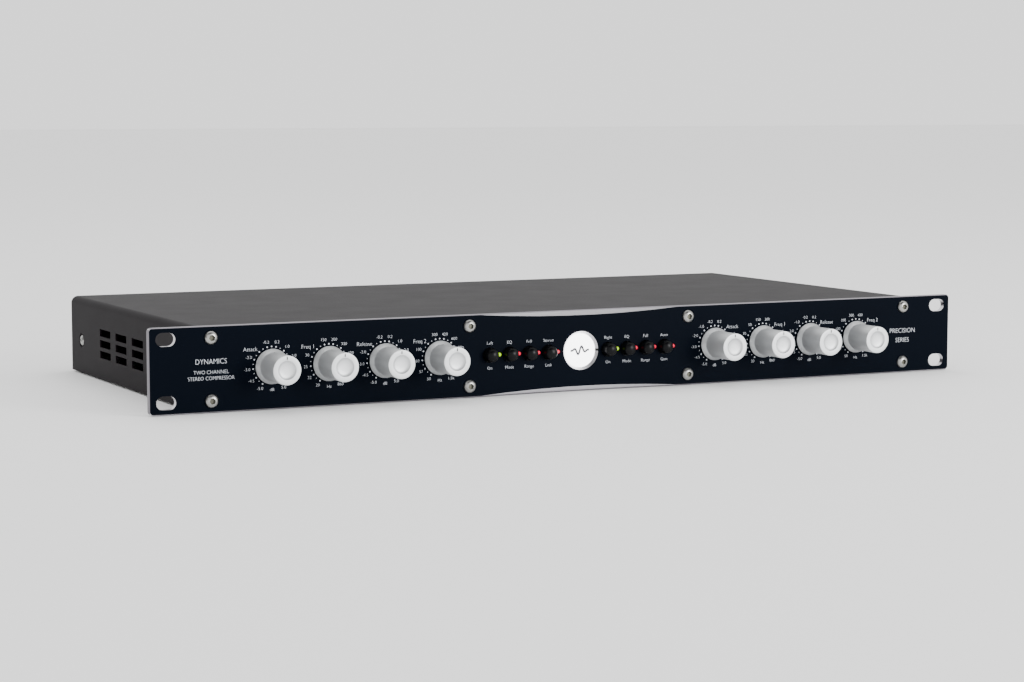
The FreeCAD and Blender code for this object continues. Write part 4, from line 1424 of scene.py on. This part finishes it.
class Printer:
    """Sets words and dots as thin ink on a panel's face."""

    thickness = 0.02 * MM
    cap_share = 0.729
    thinning = 0.02

    def __init__(self, face: float, outward: int = -1) -> None:
        """Choose the face.

        Args:
            face: where the printed face lies along Y.
            outward: -1 to print on a face that looks to the front, 1 to the back.
        """
        self.face = face
        self.outward = outward
        self.meshes: List[bmesh.types.BMesh] = []

    def word(self, label: Label) -> None:
        """Set one label, centred on its place.

        Args:
            label: the words, their place and their cap height.
        """
        curve = bpy.data.curves.new("word", "FONT")
        curve.body = label.words
        curve.size = label.height / self.cap_share
        curve.align_x = "CENTER"
        curve.align_y = "CENTER"
        curve.resolution_u = 3
        curve.extrude = self.thickness / 2
        curve.offset = -self.thinning * curve.size
        holder = bpy.data.objects.new("word", curve)
        bpy.context.scene.collection.objects.link(holder)
        graph = bpy.context.evaluated_depsgraph_get()
        data = bpy.data.meshes.new_from_object(holder.evaluated_get(graph))
        bpy.data.objects.remove(holder)
        made = bmesh.new()
        made.from_mesh(data)
        bpy.data.meshes.remove(data)
        bmesh.ops.remove_doubles(made, verts=made.verts, dist=0.0005 * MM)
        bmesh.ops.scale(made, vec=(label.squeeze, 1, 1), verts=made.verts)
        self.stand(made, label.x, label.z)

    def dot(self, x: float, z: float, radius: float) -> None:
        """Set one round dot.

        Args:
            x: its place across.
            z: its place up.
            radius: its radius.
        """
        made = bmesh.new()
        bmesh.ops.create_cone(
            made, cap_ends=True, segments=14, radius1=radius, radius2=radius, depth=self.thickness,
        )
        self.stand(made, x, z)

    def stand(self, made: bmesh.types.BMesh, x: float, z: float) -> None:
        """Turn flat ink upright and press it on the face.

        Args:
            made: the ink, flat about the origin.
            x: its place across.
            z: its place up.
        """
        turn = Matrix.Rotation(math.pi / 2, 4, "X")
        if self.outward > 0:
            turn = Matrix.Rotation(math.pi, 4, "Z") @ turn
        place = Matrix.Translation((x, self.face + self.outward * self.thickness * 0.6, z))
        bmesh.ops.transform(made, matrix=place @ turn, verts=made.verts)
        self.meshes.append(made)

    def finish(self, name: str, finish: str, slot: str) -> None:
        """Join the ink as one piece.

        Args:
            name: the piece's name.
            finish: the palette's name for the ink.
            slot: not used.
        """
        finish_piece(name, gather(self.meshes), finish, CASE)


@dataclass
class Dial:
    """Ring of dots, numbers, unit and title round one knob."""

    centre: Vector
    title: str
    title_side: int
    numbers: Dict[int, str]
    unit: str
    dot_ring: float = 10.05 * MM
    number_ring: float = 12.35 * MM
    number_height: float = 1.6 * MM
    title_height: float = 2.2 * MM
    big_dot: float = 0.38 * MM
    small_dot: float = 0.22 * MM
    last_index: int = 11
    sweep: float = 150.0

    def angle(self, index: float) -> float:
        """Angle of a dot's index from twelve o'clock, in radians."""
        return math.radians(self.sweep * index / self.last_index)

    def place(self, index: float, ring: float) -> Pair:
        """Place of a dot's index on a ring round the knob."""
        angle = self.angle(index)
        return (self.centre.x + ring * math.sin(angle), self.centre.z + ring * math.cos(angle))

    def print_on(self, printer: Printer) -> None:
        """Set the dial's ink.

        Args:
            printer: the printer of the panel's face.
        """
        for index in range(-self.last_index, self.last_index + 1):
            big = index == 0 or index % 2 == 1
            printer.dot(*self.place(index, self.dot_ring), self.big_dot if big else self.small_dot)
        for index, words in self.numbers.items():
            stretch = 1 + 0.018 * len(words) * abs(math.sin(self.angle(index)))
            x, z = self.place(index, self.number_ring * stretch)
            printer.word(Label(words, x, z, self.number_height, 1.02))
        printer.word(Label(self.unit, self.centre.x, self.centre.z - 11.9 * MM, self.number_height, 1.05))
        title_x = self.centre.x + self.title_side * 11.4 * MM
        printer.word(Label(self.title, title_x, self.centre.z + 9.0 * MM, self.title_height, 0.95))


GAIN_NUMBERS = {
    -11: "-5.0", -9: "-4.5", -7: "-3.0", -5: "-2.0", -3: "-1.0", -1: "-0.2",
    1: "0.2", 3: "1.0", 5: "2.0", 7: "3.0", 9: "4.5", 11: "5.0",
}
LOW_NUMBERS = {
    -11: "20", -9: "22", -7: "25", -5: "30", -3: "50", -1: "150",
    1: "200", 3: "330", 5: "430", 7: "560", 9: "720", 11: "860",
}
HIGH_NUMBERS = {
    -11: "50", -9: "57", -7: "60", -5: "100", -3: "200", -1: "300",
    1: "420", 3: "600", 5: "800", 7: "1k", 9: "1.2k", 11: "1.5k",
}


@dataclass
class FrontPanel:
    """Black-faced plate with its screws, its print and its lit badge."""

    titles: Tuple[str, ...] = ("Attack", "Freq 1", "Release", "Freq 2")
    face: float = field(init=False)

    def __post_init__(self) -> None:
        """Read the face's place from the frame."""
        self.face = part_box("front_panel")[0].y

    def build(self) -> None:
        """Dress the plate and add what is printed on it and set in it."""
        dress("front_panel", "panel")
        ScrewSet(
            "front_panel_screws", "screw", "bright_steel", Drive.HEXAGON, 3.5 * MM, 2.1 * MM,
            2.0 * MM, True, 1.7 * MM, 1.3 * MM,
        ).build()
        printer = Printer(self.face)
        self.print_dials(printer)
        self.print_buttons(printer)
        self.print_names(printer)
        printer.finish("panel_print", "print", "panel_black")
        self.build_badge()

    def print_dials(self, printer: Printer) -> None:
        """Set the eight dials.

        Args:
            printer: the printer of the panel's face.
        """
        sets = (GAIN_NUMBERS, LOW_NUMBERS, GAIN_NUMBERS, HIGH_NUMBERS)
        units = ("dB", "Hz", "dB", "Hz")
        for side, sign in (("left", -1), ("right", 1)):
            for number, (title, numbers, unit) in enumerate(zip(self.titles, sets, units), start=1):
                under_title = 3 * sign
                shown = {index: words for index, words in numbers.items() if index != under_title}
                centre = Extent.of(f"{side}_knob_{number}").centre
                Dial(centre, title, sign, shown, unit).print_on(printer)

    def print_buttons(self, printer: Printer) -> None:
        """Set the words above and below the buttons.

        Args:
            printer: the printer of the panel's face.
        """
        words = {
            "left": (("Left", "On"), ("EQ", "Mode"), ("Full", "Range"), ("Stereo", "Link")),
            "right": (("Right", "On"), ("EQ", "Mode"), ("Full", "Range"), ("Auto", "Gain")),
        }
        for side, pairs in words.items():
            for number, (above, below) in enumerate(pairs, start=1):
                x = Extent.of(f"{side}_button_{number}").centre.x
                printer.word(Label(above, x, 6.3 * MM, 1.7 * MM, 1.0))
                printer.word(Label(below, x, -7.0 * MM, 1.7 * MM, 1.0))

    def print_names(self, printer: Printer) -> None:
        """Set the plain words at the panel's two ends.

        Args:
            printer: the printer of the panel's face.
        """
        screws = solids_of("front_panel_screws")
        left = screws[0].centre.x
        right = screws[-1].centre.x
        printer.word(Label("DYNAMICS", left, 3.8 * MM, 2.8 * MM, 0.88))
        printer.word(Label("TWO CHANNEL", left, -1.5 * MM, 2.0 * MM, 0.92))
        printer.word(Label("STEREO COMPRESSOR", left, -4.6 * MM, 2.0 * MM, 0.9))
        printer.word(Label("PRECISION", right, 2.0 * MM, 2.8 * MM, 0.95))
        printer.word(Label("SERIES", right, -3.4 * MM, 2.8 * MM, 0.9))

    def build_badge(self) -> None:
        """Turn the opal lens and lay a plain wave mark on it."""
        extent = Extent.of("badge_lens")
        front = extent.low.y
        radius = 9.2 * MM
        rim = extent.size.x / 2
        corners = [
            (0.0, front), (radius, front), (radius, 0.0),
            (rim, 0.0), (rim, extent.high.y), (0.0, extent.high.y),
        ]
        profile = rounded_profile(corners, {1: 0.2 * MM}, 3)
        mesh = turned(profile, extent.centre, Axis.Y, 96)
        finish_piece("badge_disc", mesh, "lens", CASE, ["badge_lens"])
        self.build_painted_reflection(radius)
        self.build_wave(front)

    def build_painted_reflection(self, radius: float) -> None:
        """Set a small dark block into the bevel on the lens's right, a painted reflection of the black
        button beside it.

        Args:
            radius: the lens's radius.
        """
        half = 0.55 * MM
        low = (radius - 0.1 * MM, self.face + 0.02 * MM, -half)
        # Painted reflection: a dark block in pad rubber where the ring shows the black button's reflection.
        mesh = slab(low, (radius + 1.35 * MM, self.face + 1.35 * MM, half))
        finish_piece("badge_painted_reflection", mesh, "rubber", CASE)

    def build_wave(self, front: float) -> None:
        """Lay the wave: one line that rises, falls and settles.

        Args:
            front: the lens's face along Y.
        """
        wave = bpy.data.curves.new("wave", "CURVE")
        wave.dimensions = "3D"
        wave.bevel_depth = 0.55 * MM
        wave.bevel_resolution = 2
        wave.use_fill_caps = True
        line = wave.splines.new("POLY")
        count = 60
        line.points.add(count - 1)
        half = 5.6 * MM
        for index, point in enumerate(line.points):
            share = index / (count - 1)
            x = -half + 2 * half * share
            fade = math.exp(-3.2 * (2 * share - 1) ** 2)
            z = 2.4 * MM * fade * math.sin(5 * math.pi * (share - 0.5))
            point.co = (x, 0.0, z, 1.0)
        holder = bpy.data.objects.new("wave", wave)
        bpy.context.scene.collection.objects.link(holder)
        graph = bpy.context.evaluated_depsgraph_get()
        data = bpy.data.meshes.new_from_object(holder.evaluated_get(graph))
        bpy.data.objects.remove(holder)
        mesh = bmesh.new()
        mesh.from_mesh(data)
        bpy.data.meshes.remove(data)
        bmesh.ops.scale(mesh, vec=(1, 0.3, 1), verts=mesh.verts)
        bmesh.ops.translate(mesh, vec=(0, front - 0.02 * MM, 0), verts=mesh.verts)
        bmesh.ops.recalc_face_normals(mesh, faces=mesh.faces)
        finish_piece("badge_mark", mesh, "mark", CASE)


# ------------------------------------------------------------------ case and rear
@dataclass
class Case:
    """Folded tray, cover with vents, rear panel and the screws that hold them."""

    sheet_edge: float = 0.18 * MM

    def build(self) -> None:
        """Break the sheets' edges and set the screws."""
        refined("top_cover", "cover_shell", "cover", CASE, self.sheet_edge)
        refined("chassis_tray", "tray_shell", "zinc", CASE, self.sheet_edge)
        refined("rear_panel", "rear_plate", "rear", CASE, self.sheet_edge)
        ScrewSet(
            "cover_screws", "screw", "bright_steel", Drive.CROSS, 2.9 * MM, 1.2 * MM,
            1.5 * MM, True, 1.5 * MM, 0.7 * MM, Axis.X,
        ).build()
        ScrewSet(
            "rear_screws", "dark_screw", "black_steel", Drive.CROSS, 2.5 * MM, 1.6 * MM,
            1.4 * MM, False, 1.4 * MM, 0.8 * MM,
        ).build()


@dataclass
class RearConnectors:
    """Audio sockets, mains inlet, power rocker, fuse drawer and their print."""

    edge: float = 0.25 * MM

    def build(self) -> None:
        """Refine the mouldings and castings, and print the plain words."""
        refined("xlr_inputs", "input_sockets", "casting", CASE, self.edge)
        refined("xlr_outputs", "output_sockets", "casting", CASE, self.edge)
        refined("mains_inlet", "inlet_module", "inlet", CASE, self.edge)
        refined("inlet_blades", "inlet_contacts", "blade", CASE, 0.3 * MM)
        refined("power_rocker", "rocker_key", "rocker", "power_rocker", 0.35 * MM, 3)
        refined("fuse_drawer", "fuse_tray", "inlet", "fuse_drawer", 0.3 * MM)
        for node in ("input_latch_left", "input_latch_right"):
            refined(node, node + "_tab", "latch", node, 0.3 * MM, 3)
        dress("fuse", "glass")
        self.build_pins()
        self.print_words()

    def build_pins(self) -> None:
        """Turn the output pins with rounded tips."""
        pins = []
        for extent in solids_of("xlr_pins"):
            radius = extent.size.x / 2
            front, rear = extent.low.y, extent.high.y
            corners = [(0.0, rear), (radius, rear), (radius, front), (0.0, front)]
            profile = rounded_profile(corners, {1: radius * 0.8}, 5)
            pins.append(turned(profile, extent.centre, Axis.Y, 24))
        finish_piece("output_pins", gather(pins), "gold", CASE, ["xlr_pins"])

    def print_words(self) -> None:
        """Set plain words beside the sockets."""
        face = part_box("rear_panel")[1].y
        printer = Printer(face, 1)
        inputs = solids_of("xlr_inputs")
        outputs = solids_of("xlr_outputs")
        for words, extents in (("INPUT", inputs), ("OUTPUT", outputs)):
            for side, extent in zip(("L", "R"), extents):
                x = extent.high.x + 3.4 * MM
                printer.word(Label(side, x, 2.0 * MM, 3.2 * MM))
            middle = (extents[0].high.x + extents[-1].low.x) / 2
            printer.word(Label(words, middle, -18.4 * MM, 2.6 * MM, 0.9))
        mains = Extent.of("mains_inlet")
        printer.word(Label("MAINS", mains.low.x - 9 * MM, 0.0, 3.0 * MM, 0.9))
        printer.finish("rear_print", "print", "rear_coat")


# ------------------------------------------------------------------ inside
@dataclass
class Internals:
    """Boards, their parts, the transformer and what lies behind the panel."""

    def build(self) -> None:
        """Shape and dress every inner piece."""
        for node, finish in (
            ("control_board", "board"), ("main_board", "board"), ("potentiometer_nuts", "nut"),
            ("board_standoffs", "nut"), ("ribbon_cable", "ribbon"),
        ):
            dress(node, finish)
        refined("potentiometers", "potentiometer_cans", "pot", CASE, 0.3 * MM)
        refined("push_switches", "push_switch_cases", "switch", CASE, 0.3 * MM)
        refined("amplifier_modules", "amplifier_blocks", "potting", CASE, 0.6 * MM)
        refined("heat_sink", "sink_extrusion", "sink", CASE, 0.2 * MM)
        refined("regulators", "regulator_chips", "epoxy", CASE, 0.4 * MM)
        refined("transformer_pad", "isolating_pad", "rubber", CASE, 0.4 * MM)
        refined("transformer_clamp", "dished_washer", "plated", CASE, 0.3 * MM)
        refined("transformer_bolt", "centre_bolt", "plated", CASE, 0.4 * MM)
        refined("transformer", "wound_ring", "coil", CASE, 1.2 * MM, 4)
        ScrewSet(
            "board_screws", "steel_screw", "bright_steel", Drive.CROSS, 2.5 * MM, 1.6 * MM,
            1.4 * MM, False, 1.4 * MM, 0.8 * MM, Axis.Z,
        ).build()
        self.build_cans()

    def build_cans(self) -> None:
        """Turn the reservoir capacitors with a rolled rim and a groove near the foot."""
        cans = []
        for extent in solids_of("capacitors"):
            radius = extent.size.x / 2
            top, foot = extent.high.z, extent.low.z
            corners = [
                (0.0, top - 0.5 * MM),
                (radius - 1.6 * MM, top - 0.5 * MM),
                (radius - 1.4 * MM, top),
                (radius, top),
                (radius, foot + 3.4 * MM),
                (radius - 0.7 * MM, foot + 2.6 * MM),
                (radius, foot + 1.8 * MM),
                (radius, foot),
                (0.0, foot),
            ]
            profile = rounded_profile(corners, {3: 0.8 * MM, 5: 0.4 * MM, 7: 0.5 * MM}, 4)
            cans.append(turned(profile, extent.centre, Axis.Z, 40))
        finish_piece("reservoir_cans", gather(cans), "can", CASE, ["capacitors"])


# ------------------------------------------------------------------ studio
@dataclass
class Studio:
    """Pale floor, soft lights and the camera."""

    camera_place: Tuple[float, float, float] = (-0.6081, -1.1528, 0.1334)
    azimuth: float = 26.24
    elevation: float = 5.635
    lens: float = 85.5
    room_light: float = 1.5

    def build(self) -> None:
        """Set up the studio."""
        self.build_floor()
        self.build_world()
        self.area("key", (0.85, -1.5, 0.42), aim=(0.0, 0.0, 0.0), size=0.7, power=26.0)
        self.area("overhead", (0.1, 0.3, 2.0), aim=(0.0, 0.1, 0.0), size=2.0, power=12.0)
        self.card("left_card", (-1.0, 0.1, 0.5), faces=Axis.X, side=1.5, finish="grey_card")
        self.card("top_card", (-0.1, -0.9, 1.1), faces=Axis.Z, side=1.6, finish="dark_card")
        self.build_camera()

    def card(self, name: str, place: Sequence[float], faces: Axis, side: float, finish: str) -> None:
        """Hang a card that only shows in shiny surfaces, to give metal its contrast.

        Args:
            name: the card's name.
            place: its middle.
            faces: Z for a level card, X for one that stands and faces along X.
            side: the length of its sides.
            finish: the palette's name for its finish.
        """
        mesh = bmesh.new()
        bmesh.ops.create_grid(mesh, x_segments=1, y_segments=1, size=side / 2)
        if faces is Axis.X:
            upright = Matrix.Rotation(math.pi / 2, 3, "Y")
            bmesh.ops.rotate(mesh, cent=(0, 0, 0), matrix=upright, verts=mesh.verts)
        bmesh.ops.translate(mesh, vec=place, verts=mesh.verts)
        data = bpy.data.meshes.new(name)
        mesh.to_mesh(data)
        mesh.free()
        data.materials.append(palette.get(finish))
        card = bpy.data.objects.new(name, data)
        card.visible_camera = False
        card.visible_diffuse = False
        card.visible_shadow = False
        bpy.context.scene.collection.objects.link(card)
        card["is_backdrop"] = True

    def build_floor(self) -> None:
        """Lay a wide pale floor just under the panel's lower edge."""
        low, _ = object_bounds()
        mesh = bmesh.new()
        bmesh.ops.create_grid(mesh, x_segments=1, y_segments=1, size=12.0)
        bmesh.ops.translate(mesh, vec=(0, 0, low.z - 0.4 * MM), verts=mesh.verts)
        data = bpy.data.meshes.new("floor")
        mesh.to_mesh(data)
        mesh.free()
        data.materials.append(palette.get("floor"))
        floor = bpy.data.objects.new("floor", data)
        bpy.context.scene.collection.objects.link(floor)
        floor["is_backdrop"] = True

    def build_world(self) -> None:
        """Fill the room with even pale light."""
        world = bpy.data.worlds.new("studio")
        world.use_nodes = True
        background = world.node_tree.nodes["Background"]
        background.inputs["Color"].default_value = (1.0, 1.0, 1.0, 1.0)
        background.inputs["Strength"].default_value = self.room_light
        bpy.context.scene.world = world

    def area(
        self, name: str, place: Sequence[float], aim: Sequence[float], size: float, power: float,
    ) -> None:
        """Hang one square soft light.

        Args:
            name: the light's name.
            place: where it hangs.
            aim: what it looks at.
            size: its side.
            power: its power in watts.
        """
        light = bpy.data.lights.new(name, "AREA")
        light.size = size
        light.energy = power
        lamp = bpy.data.objects.new(name, light)
        lamp.location = place
        lamp.rotation_euler = (Vector(aim) - Vector(place)).to_track_quat("-Z", "Y").to_euler()
        bpy.context.scene.collection.objects.link(lamp)

    def build_camera(self) -> None:
        """Place the camera, level and a little above the unit."""
        data = bpy.data.cameras.new("camera")
        data.lens = self.lens
        data.sensor_width = 36.0
        camera = bpy.data.objects.new("camera", data)
        camera.location = self.camera_place
        turn, tilt = math.radians(self.azimuth), math.radians(self.elevation)
        look = Vector((math.sin(turn) * math.cos(tilt), math.cos(turn) * math.cos(tilt), -math.sin(tilt)))
        camera.rotation_euler = look.to_track_quat("-Z", "Y").to_euler()
        bpy.context.scene.collection.objects.link(camera)
        bpy.context.scene.camera = camera


def main() -> None:
    """Build the compressor piece by piece, then the studio."""
    logging.basicConfig(level=logging.INFO, format="%(message)s")
    stages: List[Tuple[str, Callable[[], None]]] = [
        ("front panel", FrontPanel().build),
        ("case", Case().build),
        ("rear connectors", RearConnectors().build),
        ("inside", Internals().build),
    ]
    for side in ("left", "right"):
        for number in range(1, 5):
            knob = Knob(f"{side}_knob_{number}", f"{side}_shaft_{number}")
            button = Button(f"{side}_button_{number}")
            stages += [(f"{side} knob {number}", knob.build), (f"{side} button {number}", button.build)]
    stages.append(("green lamps", LampRow("green_lamps", "green_lamp", "lamp_green").build))
    stages.append(("red lamps", LampRow("red_lamps", "red_lamp", "lamp_red").build))
    stages.append(("studio", Studio().build))
    for name, build in stages:
        build()
        log.info("built the %s", name)


if __name__ == "__main__":
    main()
